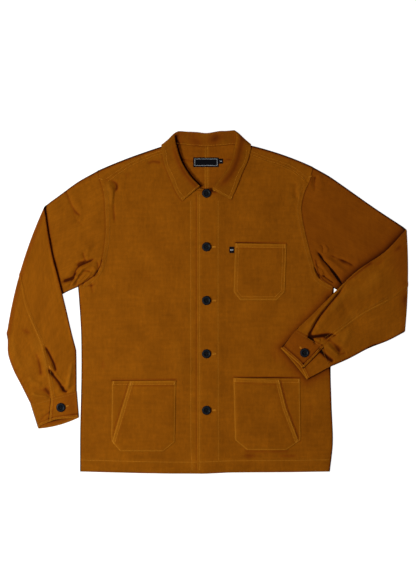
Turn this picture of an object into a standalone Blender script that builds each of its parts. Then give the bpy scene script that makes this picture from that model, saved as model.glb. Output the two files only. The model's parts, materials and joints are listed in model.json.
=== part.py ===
"""A buttoned chore jacket laid on its back, with both sleeves folded over at the elbow.

All lengths are millimetres in the jacket's own frame: +X towards the wearer's left,
+Y towards the collar, +Z up from the surface that the jacket lies on.
"""

import math
from collections import namedtuple

import bpy
import numpy as np
from mathutils.geometry import delaunay_2d_cdt

MM = 0.001

# Walls
CLOTH = 1.2  # heavy cotton twill
DOUBLE_CLOTH = 2.0  # collar and cuffs, two layers sewn together
LABEL_WALL = 1.0
SEAM = 0.3  # between neighbouring pieces

# Middle of each layer above the surface
BACK_Z = CLOTH / 2
FRONT_Z = 4.2
SIDE_Z = 1.5 * CLOTH + SEAM  # the front where it meets the back at the side seam
EDGE_ROUND = 8.0  # width over which the front comes down to its side and hem
BODY_FOLD_Z = (BACK_Z + FRONT_Z) / 2  # centre of the rounding at the shoulder and along the sleeves
SLEEVE_FOLD_Z = FRONT_Z + CLOTH / 2 + SEAM  # centre of the elbow fold

# Body
CENTRE_OVERLAP = 21.0  # each front passes the centre line by this
OVERLAP_RISE = 2.0  # of the upper front over the lower one
OVERLAP_RAMP = 26.0  # width over which the upper front climbs onto the lower one
HEM_Y = -388.0
CENTRE_CORNER = 7.0  # rounding of each front's lower corner
PLACKET_TOP = {"right": 250.0, "left": 257.0}
MESH_STEP = 31.0
RIM_STEPS = (3.0, 8.0)  # rows of points along the side and hem

# Collar
FALL_Z = 0.3 + DOUBLE_CLOTH / 2  # middle of the turned-down collar behind the neck
FALL_LIFT = FALL_Z + DOUBLE_CLOTH / 2 + 0.8  # the back lies on it
LIFT_FADE = 48.0
COLLAR_GAP = 1.4  # between the neckline and the middle of the stand
STAND_SHARES = (0.0, 0.4, 0.75, 1.0)
FALL_SHARES = (0.12, 0.3, 0.6, 1.0)
STAND_TURN = 3.5  # reach of the roll's curve down the stand
FALL_TURN = (8.0, 5.0)  # and down the fall, behind the neck and on the fronts
FALL_LEVEL = ((0.8, 0.8, 0.0), (0.45, 0.45, 0.2))  # where the fall has levelled out, for the same two

# Sleeves
ACROSS = 8  # faces across one layer of a sleeve
EDGE_FACES = 2  # faces round each edge of a sleeve
ARM_STEPS = 3  # sections between two rows of a sleeve's table
FOLD_FACES = 6  # faces round the elbow fold
FOLD_CLEAR = 3.0  # level stretch on each side of the elbow fold
ARMHOLE_TRIM = (1.0, 2.6)  # extra gap to the body at the shoulder and at the armpit
TRIM_REACH = (6.0, 10.0)  # width over which that gap closes
SHOULDER_PLACE = 1  # the shoulder seam meets the armhole at this of its shared points
BACK_SEAM = 0.55  # share of the width, from the upper edge
EDGE_GAP = 0.4  # half of the gap at the seam on the lower edge
SAG = 50.0  # distance over which a forearm comes down beside what carries it
CUFF_FACES = 3
TAB_SHARE = 0.62  # where the cuff's upper end stops
TAB_OVERLAP = 0.3  # of the width, where the cuff is double
TAB_RAISE = DOUBLE_CLOTH + SEAM

BUTTON_SEGMENTS = 14


def table(columns, *rows):
    """Rows with named columns."""
    row = namedtuple("Row", columns)
    return [row(*values) for values in rows]


# The shoulder is a fold line from the neck outwards. The shoulder seam, armhole and side
# are given as they lie on top, from the neck, the shoulder and the armpit.
Side = namedtuple("Side", "sign shoulder_neck shoulder_end bow seam armhole side")
SIDES = {
    "right": Side(
        sign=-1,
        shoulder_neck=(-84.0, 364.0),
        shoulder_end=(-249.6, 303.4),
        bow=4.0,
        seam=((-130.0, 331.0), (-176.0, 310.0)),
        armhole=(
            (-249.6, 303.4), (-244.3, 282.4), (-235.1, 247.3), (-232.3, 212.8), (-231.4, 162.2),
            (-235.8, 120.8), (-247.3, 77.1), (-269.3, 52.7), (-294.9, 38.0),
        ),
        side=((-292.0, 1.0), (-288.0, -66.0), (-287.0, -158.0), (-290.0, -314.0)),
    ),
    "left": Side(
        sign=1,
        shoulder_neck=(84.0, 364.5),
        shoulder_end=(244.3, 311.7),
        bow=3.0,
        seam=((136.0, 325.0), (190.7, 306.0)),
        armhole=(
            (244.3, 311.7), (236.9, 280.6), (225.4, 254.2), (218.0, 222.0), (219.5, 196.0),
            (232.8, 134.6), (244.5, 92.0), (256.0, 58.0), (292.6, 35.4),
        ),
        side=((291.0, 1.0), (289.0, -66.0), (285.0, -146.0), (287.0, -234.0), (290.0, -323.0)),
    ),
}
HEM_CORNER_X = {"right": -290.0, "left": 283.0}

# Sleeve edges, as they lie: the arm, the elbow fold, then the forearm folded back over it.
SLEEVE_ROWS = {
    "right": table(
        "lies upper_x upper_y lower_x lower_y",
        ("arm", -249.6, 303.4, -294.9, 38.0),
        ("arm", -295.6, 277.2, -332.0, 20.0),
        ("arm", -338.0, 246.0, -392.0, -24.0),
        ("fold", -371.5, 222.0, -456.0, -75.0),
        ("forearm", -356.0, 122.0, -455.5, -118.0),
        ("forearm", -330.0, 19.0, -445.0, -151.0),
        ("forearm", -304.5, -90.0, -425.0, -191.0),
        ("forearm", -298.0, -203.6, -404.3, -232.3),
        ("cuff", -293.2, -263.0, -386.6, -288.7),
    ),
    "left": table(
        "lies upper_x upper_y lower_x lower_y",
        ("arm", 244.3, 311.7, 292.6, 35.4),
        ("arm", 313.0, 269.0, 345.0, 5.0),
        ("arm", 385.0, 218.0, 400.0, -30.0),
        ("fold", 459.8, 169.0, 455.6, -64.4),
        ("forearm", 410.0, 117.0, 415.0, -87.0),
        ("forearm", 343.0, 70.7, 371.0, -104.0),
        ("forearm", 271.0, 1.0, 328.0, -127.0),
        ("forearm", 222.5, -49.0, 286.0, -146.0),
        ("cuff", 173.2, -101.0, 230.7, -176.0),
    ),
}
ELBOW_BOW = {"right": 12.0, "left": 5.0}

# One row for each section of the collar, from the wearer's right front round the neck to
# the left front. wrap is 0 under the back and 1 on the fronts, turn the direction of the
# cloth at the roll: -90 down, 0 outwards, 90 up.
COLLAR = table(
    "seam_x seam_y wrap roll_x roll_y roll_z edge_x edge_y edge_wrap turn",
    (-17, 263, 1.0, -16, 267, 9.5, -55.4, 234.1, 1.0, 90),
    (-36, 271, 1.0, -32, 283, 11.0, -67.6, 251.0, 1.0, 90),
    (-60, 291, 1.0, -49, 306, 12.0, -83.0, 286.0, 1.0, 90),
    (-80, 320, 1.0, -62, 334, 13.0, -96.0, 319.0, 1.0, 90),
    (-88, 344, 1.0, -70, 362, 13.0, -101.0, 344.0, 1.0, 80),
    (-86, 357, 0.8, -72.5, 380, 12.0, -102.5, 355.5, 1.0, 45),
    (-81, 361, 0.5, -71.5, 386, 10.5, -102.0, 362.0, 0.5, 0),
    (-73, 362, 0.15, -67, 390.5, 9.5, -98.5, 359.0, 0.0, -45),
    (-60, 362, 0.0, -62, 392, 9.0, -84.0, 337.0, 0.0, -80),
    (-32, 361, 0.0, -34, 391, 9.0, -44.0, 326.0, 0.0, -90),
    (0, 360, 0.0, 0, 388, 9.0, 0.0, 323.0, 0.0, -90),
    (32, 361, 0.0, 34, 392, 9.0, 44.0, 326.0, 0.0, -90),
    (60, 362, 0.0, 61, 394, 9.0, 84.0, 337.0, 0.0, -80),
    (72, 362, 0.15, 65, 391.5, 9.5, 98.0, 360.0, 0.0, -45),
    (80, 361, 0.5, 69.5, 386, 10.5, 101.0, 363.0, 0.5, 0),
    (84, 357, 0.8, 70, 378, 12.0, 101.0, 357.0, 1.0, 45),
    (85, 344, 1.0, 66, 359, 13.0, 99.5, 347.0, 1.0, 80),
    (77, 320, 1.0, 60, 332, 13.0, 94.0, 326.0, 1.0, 90),
    (59, 291, 1.0, 49, 306, 12.0, 81.0, 296.0, 1.0, 90),
    (38, 270, 1.0, 33, 285, 11.0, 68.0, 263.0, 1.0, 90),
    (19, 255, 1.0, 14, 260, 9.5, 56.4, 237.1, 1.0, 90),
)
COLLAR_STEPS = 2
COLLAR_SHOULDERS = (4, 16)  # rows where the shoulder seams end

# The largest folds of the upper layers: straight ridges, or troughs where height is negative.
FOLDS = table(
    "layer from_x from_y to_x to_y width height",
    ("body", -214, 276, -211, 190, 12, 2.6),
    ("body", -292, 199, -322, 248, 14, 1.8),
    ("body", -334, 50, -300, 76, 13, 3.2),
    ("body", -300, 76, -262, 100, 12, 2.6),
    ("body", -187, -13, -84, -13, 20, 1.4),
    ("body", -262, 20, -240, -60, 20, 1.5),
    ("body", 208, 275, 205, 236, 12, 2.0),
    ("body", 256, 270, 262, 225, 14, 2.2),
    ("body", 275, 112, 316, 60, 12, 3.4),
    ("body", 290, 120, 345, 92, 14, 2.4),
    ("body", 222, -200, 232, -320, 22, 1.4),
    ("forearm", -384, -100, -350, -175, 13, 2.6),
    ("forearm", -392, -60, -414, -200, 16, 2.0),
    ("forearm", -312, -120, -320, -200, 12, 1.8),
    ("forearm", 300, 20, 245, -62, 13, 2.6),
    ("forearm", 390, 60, 300, -70, 16, 2.2),
    ("forearm", 330, -70, 262, -100, 14, 2.8),
    ("forearm", 420, -20, 330, -110, 16, 1.6),
)

# Patches sewn onto the fronts, each outline as it lies.
CHEST_POCKET = ((66, 136), (184, 134), (180, 24), (161, 5), (77, 5), (62, 24))
POCKET_TAB = ((52.5, 128), (63.5, 128), (63.5, 113.5), (52.5, 113.5))
RIGHT_POCKET = ((-217, -180), (-70, -179), (-72.5, -320), (-99, -342), (-198, -342), (-219, -318))
RIGHT_SLANT = ((-171, -180), (-70, -179), (-72.5, -320), (-99, -342), (-198, -342), (-216, -321))
LEFT_POCKET = ((61.5, -172.5), (214.5, -175), (216.5, -316), (183, -339), (93, -339), (65, -316))
LEFT_SLANT = ((61.5, -172.5), (167, -177), (212, -319), (183, -339), (93, -339), (65, -316))
NECK_LABEL = ((-30.5, 333), (28, 333), (28, 311), (-30.5, 311))
SIZE_TAG = ((28.4, 330), (37.5, 330), (37.5, 318.5), (28.4, 318.5))

BUTTON_ROWS = (250.5, 127.7, 4.6, -117.5, -247.0)
CUFF_BUTTONS = {"right": (-334.0, -240.5), "left": (224.5, -115.0)}
BUTTON_PROFILE = ((7.0, 0.0), (10.2, 1.0), (10.5, 2.4), (9.2, 3.6), (6.6, 2.5), (3.4, 2.0))
BUTTON_CENTRE_Z = 1.9


def smooth(value):
    """0 to 1 with level ends."""
    value = np.clip(value, 0.0, 1.0)
    return value * value * (3 - 2 * value)


def quarter_round(value):
    """Height of a quarter circle at a share of its width."""
    return np.sqrt(1 - (1 - np.clip(value, 0.0, 1.0)) ** 2)


def through(points, steps):
    """A smooth curve through points, with the same number of steps between each two."""
    points = np.asarray(points, float)
    runs = np.diff(points, axis=0)
    runs = np.vstack([runs[:1], runs, runs[-1:]])
    times = np.sqrt(np.linalg.norm(runs, axis=1))[:, None]
    speeds = runs[:-1] / times[:-1] * times[1:] + runs[1:] / times[1:] * times[:-1]
    speeds /= times[:-1] + times[1:]
    found = []
    for k, (start, end) in enumerate(zip(points, points[1:])):
        leave, arrive = speeds[k] * times[k + 1], speeds[k + 1] * times[k + 1]
        for t in np.arange(steps) / steps:
            found.append(bezier(start, start + leave / 3, end - arrive / 3, end, t))
    return np.array(found + [points[-1]])


def bezier(a, b, c, d, t):
    return a * (1 - t) ** 3 + 3 * b * t * (1 - t) ** 2 + 3 * c * t ** 2 * (1 - t) + d * t ** 3


def at_shares(curve, shares):
    """Points at shares of a curve's length."""
    lengths = np.concatenate([[0], np.cumsum(np.linalg.norm(np.diff(curve, axis=0), axis=1))])
    where = np.asarray(shares) * lengths[-1]
    return np.column_stack([np.interp(where, lengths, curve[:, k]) for k in range(curve.shape[1])])


def segment_distance(points, start, end):
    """Distance of each point from a straight segment."""
    start, run = np.asarray(start, float), np.subtract(end, start)
    share = np.clip((points - start) @ run / max(run @ run, 1e-9), 0, 1)
    return np.linalg.norm(points - start - share[:, None] * run, axis=1)


def towards(points, others):
    """Unit directions from points to others."""
    return (others - points) / np.linalg.norm(others - points, axis=1)[:, None]


def line_distance(points, line):
    return np.min([segment_distance(points, a, b) for a, b in zip(line, line[1:])], axis=0)


def outside_distance(points, outline):
    """Distance outside a closed outline, negative inside it."""
    closed = list(outline) + [outline[0]]
    inside = np.zeros(len(points), bool)
    for (ax, ay), (bx, by) in zip(closed, closed[1:]):
        if ay != by:
            crossed = (ay > points[:, 1]) != (by > points[:, 1])
            inside ^= crossed & (points[:, 0] < ax + (points[:, 1] - ay) * (bx - ax) / (by - ay))
    return np.where(inside, -1, 1) * line_distance(points, closed)


def inset(outline, distance):
    """The outline moved inwards along its corners' bisectors."""
    outline = np.asarray(outline, float)
    run = np.roll(outline, -1, axis=0) - outline
    run /= np.linalg.norm(run, axis=1)[:, None]
    area = np.sum(outline[:, 0] * np.roll(outline[:, 1], -1) - np.roll(outline[:, 0], -1) * outline[:, 1])
    inward = np.column_stack([-run[:, 1], run[:, 0]]) * np.sign(area)
    bisector = inward + np.roll(inward, 1, axis=0)
    bisector /= np.maximum((bisector ** 2).sum(axis=1), 0.5)[:, None] / 2
    return outline + bisector * distance


class Fold:
    """A fold line in the flat cloth. What lies beyond it turns back over the rest.

    The line is where the folded cloth shows its outline: from start to end, bowed
    outwards by bow. outward is +1 where the far side is on the line's left.
    """

    def __init__(self, start, end, bow, outward, centre_z, mean_radius):
        self.start = np.asarray(start, float)
        run = np.subtract(end, start)
        self.length = np.linalg.norm(run)
        self.along = run / self.length
        self.out = np.array([-self.along[1], self.along[0]]) * outward
        self.bow = bow
        self.centre_z = centre_z
        self.arc = math.pi * mean_radius

    def split(self, points):
        """Position along the line, and distance past the start of the rounding."""
        offset = np.asarray(points, float) - self.start
        along = offset @ self.along
        return along, offset @ self.out - self.axis(along)

    def bowed(self, along):
        share = np.clip(along / self.length, 0, 1)
        return self.bow * 4 * share * (1 - share)

    def axis(self, along):
        return self.bowed(along) - self.centre_z

    def join(self, along, past):
        out = self.axis(along) + past
        return self.start + np.multiply.outer(along, self.along) + np.multiply.outer(out, self.out)

    def unfold(self, points):
        """Where points that lie folded over are in the flat cloth."""
        along, past = self.split(points)
        return self.join(along, self.arc - past)

    def crease(self, points):
        """Points of the outline, moved to the middle of the rounding."""
        along, _ = self.split(points)
        return self.join(along, np.full(len(along), self.arc / 2))

    def lay(self, points, z):
        """Folded positions, heights, and the share of the turn that each point has made."""
        along, past = self.split(points)
        turn = np.clip(past / self.arc, 0, 1) * math.pi
        radius = self.centre_z - z
        flat = np.where(past < 0, past, np.where(past > self.arc, self.arc - past, radius * np.sin(turn)))
        return self.join(along, flat), self.centre_z - radius * np.cos(turn), turn / math.pi


def lift(points):
    """How far the body is raised where the collar lies under it."""
    under = [(row.edge_x, row.edge_y) for row in COLLAR if row.edge_wrap <= 0.5]
    under += [(row.roll_x, row.roll_y) for row in reversed(COLLAR) if row.edge_wrap <= 0.5]
    return FALL_LIFT * (1 - smooth(outside_distance(points, under) / LIFT_FADE))


def relief(points, layer):
    """Height of the folds of one layer."""
    total = np.zeros(len(points))
    for fold in FOLDS:
        if fold.layer == layer:
            away = segment_distance(points, (fold.from_x, fold.from_y), (fold.to_x, fold.to_y))
            total += fold.height * np.exp(-(away / fold.width) ** 2)
    return total


def body_relief(points):
    """Folds of the fronts and upper arms, flattened where a forearm lies on them."""
    total = relief(points, "body")
    for outline in FOREARMS.values():
        total *= smooth((outside_distance(points, outline) - 2) / 14)
    return total


def side_line(name):
    """Side seam and hem of one front."""
    side = SIDES[name]
    line = [side.armhole[-1], *side.side, (HEM_CORNER_X[name], HEM_Y)]
    return through(line, 3)


def front_height(points, name):
    """Middle of a front's cloth."""
    edge = np.vstack([side_line(name), [(-SIDES[name].sign * CENTRE_OVERLAP, HEM_Y)]])
    drop = (FRONT_Z - SIDE_Z) * (1 - quarter_round(line_distance(points, edge) / EDGE_ROUND))
    z = FRONT_Z - drop + lift(points) + body_relief(points)
    if name == "left":
        z += OVERLAP_RISE * smooth((CENTRE_OVERLAP + OVERLAP_RAMP - points[:, 0]) / OVERLAP_RAMP)
    return z


def right_front(points):
    return front_height(points, "right")


def left_front(points):
    return front_height(points, "left")


def back_height(points):
    return np.full(len(points), BACK_Z) + lift(points)


def shoulder_fold(name):
    side = SIDES[name]
    return Fold(side.shoulder_neck, side.shoulder_end, side.bow, side.sign, BODY_FOLD_Z,
                BODY_FOLD_Z - BACK_Z)


def elbow_fold(name):
    row = next(row for row in SLEEVE_ROWS[name] if row.lies == "fold")
    return Fold((row.upper_x, row.upper_y), (row.lower_x, row.lower_y), ELBOW_BOW[name],
                SIDES[name].sign, SLEEVE_FOLD_Z, SLEEVE_FOLD_Z - BODY_FOLD_Z)


def forearm_outline(name):
    rows = [row for row in SLEEVE_ROWS[name] if row.lies != "arm"]
    return ([(row.upper_x, row.upper_y) for row in rows]
            + [(row.lower_x, row.lower_y) for row in reversed(rows)])


def arm_outline(name):
    rows = [row for row in SLEEVE_ROWS[name] if row.lies in ("arm", "fold")]
    return ([(row.upper_x, row.upper_y) for row in rows]
            + [(row.lower_x, row.lower_y) for row in reversed(rows)])


FOREARMS = {name: forearm_outline(name) for name in SIDES}


def object_from(name, vertices, faces, material, thickness=0.0):
    """An object from millimetre points. With a thickness, its faces become a wall."""
    mesh = bpy.data.meshes.new(name)
    mesh.from_pydata([tuple(v) for v in np.asarray(vertices) * MM], [], [tuple(map(int, f)) for f in faces])
    mesh.materials.append(material)
    mesh.update()
    mesh.shade_smooth()
    mesh.set_sharp_from_angle(angle=math.radians(40))
    made = bpy.data.objects.new(name, mesh)
    bpy.context.scene.collection.objects.link(made)
    made.parent = ROOT
    if thickness:
        wall = made.modifiers.new("Wall", "SOLIDIFY")
        wall.thickness = thickness * MM
        wall.offset = 0.0
    return made


def filled(outline, step, extra=()):
    """Points and triangles that fill an outline."""
    outline = np.asarray(outline, float)
    low, high = outline.min(axis=0), outline.max(axis=0)
    rows = np.arange(low[1] + step / 2, high[1], step * 0.87)
    inner = [(x, y) for k, y in enumerate(rows)
             for x in np.arange(low[0] + step * (0.3 + 0.5 * (k % 2)), high[0], step)]
    inner = np.array(inner or np.empty((0, 2)))
    extra = np.array(extra, float).reshape(-1, 2)
    if len(extra):
        extra = extra[outside_distance(extra, outline) < -1.2]
    if len(inner):
        inner = inner[outside_distance(inner, outline) < -0.42 * step]
    if len(inner) and len(extra):
        nearest = np.linalg.norm(inner[:, None] - extra[None], axis=2).min(axis=1)
        inner = inner[nearest > 0.45 * step]
    points = np.vstack([outline, extra, inner])
    ring = [list(range(len(outline)))]
    found = delaunay_2d_cdt([tuple(p) for p in points], [], ring, 1, 1e-4)
    return np.array([tuple(v) for v in found[0]]), found[2]


def fold_points(outline, layer, step=20.0):
    """Points on the crest and the flanks of each fold in a panel."""
    found = []
    for fold in FOLDS:
        if fold.layer != layer:
            continue
        start, end = np.array((fold.from_x, fold.from_y)), np.array((fold.to_x, fold.to_y))
        run = end - start
        across = np.array((-run[1], run[0])) / np.linalg.norm(run) * fold.width * 1.2
        for share in np.linspace(0, 1, max(2, round(np.linalg.norm(run) / step))):
            found += [start + run * share + across * k for k in (-1, 0, 1)]
    return [p for p in found if outside_distance(np.array([p]), outline)[0] < -6]


def panel(name, outline, height, material, thickness=CLOTH, step=MESH_STEP, extra=()):
    """A wall of cloth whose middle lies at height(points)."""
    points, faces = filled(inset(outline, SEAM / 2), step, extra)
    return object_from(name, np.column_stack([points, height(points)]), faces, material, thickness)


def patch(name, outline, host, plies, material, thickness=CLOTH, step=MESH_STEP):
    """A piece sewn onto a panel: the panel's own surface, moved out by the plies below it."""
    rise = CLOTH / 2 + (plies - 1) * CLOTH + plies * SEAM + thickness / 2
    corners = np.asarray(outline, float)
    closed = np.vstack([corners, corners[:1]])
    edge = [a + (b - a) * k / n for a, b in zip(closed, closed[1:])
            for n in [max(1, round(np.linalg.norm(b - a) / step))] for k in range(n)]
    points, faces = filled(edge, step)
    return object_from(name, np.column_stack([points, host(points) + rise]), faces, material, thickness)


def surface(name, colour, roughness, metallic=0.0):
    """A Principled material from an sRGB colour of 0 to 255."""
    shares = [c / 255 for c in colour]
    linear = [c / 12.92 if c <= 0.04045 else ((c + 0.055) / 1.055) ** 2.4 for c in shares]
    material = bpy.data.materials.new(name)
    material.use_nodes = True
    shader = material.node_tree.nodes["Principled BSDF"]
    shader.inputs["Base Color"].default_value = (*linear, 1.0)
    shader.inputs["Roughness"].default_value = roughness
    shader.inputs["Metallic"].default_value = metallic
    material.diffuse_color = (*linear, 1.0)
    return material


def edge_shares(width):
    """Across one layer of a sleeve: where its rounding ends, and evenly between."""
    round_end = BODY_FOLD_Z / width
    return np.linspace(round_end, 1 - round_end, ACROSS + 1)


def armhole(name):
    """Armhole points shared by the body and the sleeve, from the shoulder to the armpit."""
    curve = through(SIDES[name].armhole, 8)
    width = np.linalg.norm(np.diff(curve, axis=0), axis=1).sum()
    return curve, edge_shares(width)


def neckline():
    """The collar's seam, as it lies in the plan."""
    return through([(row.seam_x, row.seam_y) for row in COLLAR], COLLAR_STEPS)


def neck_points(name, part):
    """The neckline of one front, from the centre, or of one half of the back, to the centre."""
    line = neckline()
    centre = (len(line) - 1) // 2
    shoulders = [row * COLLAR_STEPS for row in COLLAR_SHOULDERS]
    if name == "right":
        return line[: shoulders[0] + 1] if part == "front" else line[shoulders[0] : centre + 1]
    return line[shoulders[1] :][::-1] if part == "front" else line[centre : shoulders[1] + 1][::-1]


def shoulder_seam(name):
    """From the neck to the armhole, on top."""
    curve, shares = armhole(name)
    neck_end = neck_points(name, "front")[-1]
    seam = [neck_end, *SIDES[name].seam, at_shares(curve, [shares[SHOULDER_PLACE]])[0]]
    return through(seam, 2)


def front_outline(name):
    sign = SIDES[name].sign
    curve, shares = armhole(name)
    arm = at_shares(curve, [*shares[SHOULDER_PLACE:], 1.0])
    side = side_line(name)
    centre_x = -sign * CENTRE_OVERLAP
    hem = [(x, HEM_Y) for x in np.linspace(side[-1][0], centre_x + sign * CENTRE_CORNER, 11)[1:]]
    placket = [(centre_x, y) for y in np.linspace(HEM_Y + CENTRE_CORNER, PLACKET_TOP[name], 22)]
    return np.vstack([arm, side[1:], hem, placket, neck_points(name, "front"), shoulder_seam(name)[1:-1]])


def build_front(name, material):
    outline = front_outline(name)
    side = side_line(name)
    rim = [p + np.array((-SIDES[name].sign * step, 0)) for step in RIM_STEPS for p in side[1:-1]]
    rim += [(x, HEM_Y + step) for step in RIM_STEPS for x in (*np.arange(-270, 271, 30.0), -14, 14)]
    extra = rim + fold_points(outline, "body")
    if name == "left":
        ramp = (CENTRE_OVERLAP + OVERLAP_RAMP * k for k in (0.0, 0.5, 1.0))
        extra += [(x, y) for x in ramp for y in np.arange(HEM_Y + 14, 250, 30.0)]
    panel(f"front_{name}", outline, lambda p: front_height(p, name), material, extra=extra)


def build_back(name, material):
    """Half of the back, with the strip that turns over the shoulder to the shoulder seam."""
    fold = shoulder_fold(name)
    curve, shares = armhole(name)
    below = at_shares(curve, sorted([*shares, BACK_SEAM, 1.0]))[::-1]
    above = fold.unfold(at_shares(curve, shares[: SHOULDER_PLACE + 1]))
    seam = fold.unfold(shoulder_seam(name)[::-1])
    neck = neck_points(name, "back")
    side = side_line(name)[::-1]
    hem = [(x, HEM_Y) for x in np.linspace(0, side[0][0], 12)]
    centre = [(0.0, y) for y in np.linspace(neck[-1][1], HEM_Y, 26)[1:-1]]
    turned = neck[1:][fold.split(neck[1:])[1] < 0]
    outline = inset(np.vstack([turned, centre, hem, side[1:-1], below, above[1:], seam[1:]]), SEAM / 2)
    levels = np.linspace(0, fold.arc, 5)
    outline = split_at(outline, fold, levels)
    grid = [fold.join(np.array([along]), np.array([level]))[0]
            for along in np.arange(8, fold.length, 24.0) for level in (-4.0, *levels, fold.arc + 5)]
    points, faces = filled(outline, MESH_STEP, grid)
    laid, z, turned = fold.lay(points, np.full(len(points), BACK_Z))
    z = z + lift(laid) + body_relief(laid) * turned
    object_from(f"back_{name}", np.column_stack([laid, z]), faces, material, CLOTH)


def split_at(outline, fold, levels):
    """The outline with a point wherever it crosses one of the fold's levels."""
    found = []
    for start, end in zip(outline, np.roll(outline, -1, axis=0)):
        found.append(start)
        a, b = fold.split(np.array([start, end]))[1]
        passed = [level for level in levels if min(a, b) + 0.05 < level < max(a, b) - 0.05]
        shares = sorted((level - a) / (b - a) for level in passed)
        found += [start + (end - start) * share for share in shares]
    return np.array(found)


def sleeve_rows(name):
    """The flat sleeve and cuff.

    Each section is given by its upper and lower edge, with how far it follows the
    armhole's curve and the elbow fold's bow.
    """
    fold = elbow_fold(name)
    arm, forearm, cuff = [], [], []
    for row in SLEEVE_ROWS[name]:
        ends = np.array([(row.upper_x, row.upper_y), (row.lower_x, row.lower_y)])
        if row.lies == "arm":
            arm.append(ends)
        elif row.lies == "fold":
            crease = fold.crease(ends)
        elif row.lies == "forearm":
            forearm.append(fold.unfold(ends))
        else:
            cuff.append(fold.unfold(ends))
    before = crossing(fold, arm[-1], crease, -FOLD_CLEAR)
    after = crossing(fold, crease, forearm[0], fold.arc + FOLD_CLEAR)
    bend = [crossing(fold, before, after, level) for level in np.linspace(0, fold.arc, FOLD_FACES + 1)]
    upper_arm = edges_through(arm + [before], ARM_STEPS)
    lower_arm = edges_through([after] + forearm, ARM_STEPS)
    band = np.linspace(forearm[-1], cuff[-1], CUFF_FACES + 1)
    rise, fall = smooth(np.linspace(0, 1, len(upper_arm))), smooth(np.linspace(1, 0, len(lower_arm)))
    hole_share = np.concatenate([1 - rise, np.zeros(len(bend) + len(lower_arm))])
    bow_share = np.concatenate([rise, np.ones(len(bend)), fall])
    return np.concatenate([upper_arm, bend, lower_arm]), band, hole_share, bow_share


def edges_through(sections, steps):
    """Sections between the given ones, along a smooth curve for each edge."""
    sections = np.array(sections)
    return np.stack([through(sections[:, side], steps) for side in (0, 1)], axis=1)


def crossing(fold, first, second, level):
    """Where the two edges between two sections are at one distance past the fold."""
    near, far = fold.split(first)[1], fold.split(second)[1]
    share = (level - near) / (far - near)
    return first + (second - first) * share[:, None]


def ring_places(width):
    """One turn round a flat tube: over the front and round the upper edge, the back, the lower edge.

    Each place is a share of the width from the upper edge, and a height from 0 on the
    back layer to 1 on the front layer.
    """
    radius = BODY_FOLD_Z - BACK_Z
    angles = np.linspace(0, math.pi / 2, EDGE_FACES + 1)
    rounds = [(BODY_FOLD_Z - radius * math.cos(a), math.sin(a)) for a in angles]
    flat = edge_shares(width)
    front = [(1 - x / width, 0.5 + h / 2) for x, h in rounds]
    front += [(share, 1.0) for share in flat[::-1][1:]]
    turn = [(x / width, 0.5 + h / 2) for x, h in rounds[:-1][::-1]]
    turn += [(x / width, 0.5 - h / 2) for x, h in rounds[1:]]
    back = [(share, 0.0) for share in flat[1:-1]]
    low = [(1 - x / width, 0.5 - h / 2) for x, h in rounds[::-1]]
    return front + turn, back, low


def strip(name, sections, places, place, material, thickness=CLOTH):
    """A wall through sections: places(width) across each, and place() to lay the points."""
    rings = []
    for k, ends in enumerate(sections):
        width = np.linalg.norm(ends[1] - ends[0])
        rings.append(place(k, ends, np.array(places(width))))
    return lofted(name, rings, material, thickness)


def lofted(name, rings, material, thickness):
    """A wall through open rings that have the same number of points."""
    count = len(rings[0])
    faces = [(row * count + k, row * count + k + 1, (row + 1) * count + k + 1, (row + 1) * count + k)
             for row in range(len(rings) - 1) for k in range(count - 1)]
    return object_from(name, np.vstack(rings), faces, material, thickness)


def carried(points, name):
    """1 where the arm or the body carries a forearm, 0 where it has come down beside it."""
    supports = [arm_outline(name)]
    if name == "left":
        supports.append([*side_line(name), (0, HEM_Y), (0, 250), *SIDES[name].armhole])
    away = np.min([outside_distance(points, outline) for outline in supports], axis=0)
    return 1 - smooth((away - 1) / SAG)


def lay_sleeve(name, points, z):
    """Flat sleeve points, folded at the elbow, let down beside the arm and given their folds."""
    fold = elbow_fold(name)
    laid, z, turned = fold.lay(points, z)
    upper_z = np.where(turned > 0.5, 2 * SLEEVE_FOLD_Z - BACK_Z, FRONT_Z)
    layer = 1 - np.clip(np.abs(z - upper_z) / (FRONT_Z - BACK_Z), 0, 1)
    over = smooth(turned * 2 - 1)
    z = z - over * (SLEEVE_FOLD_Z + SEAM) * (1 - carried(laid, name))
    z = z + lift(laid) * (1 - over)
    z = z + layer * ((turned < 0.5) * body_relief(laid) * (1 - smooth(turned * 4))
                     + over * relief(laid, "forearm"))
    return laid, z


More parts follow.
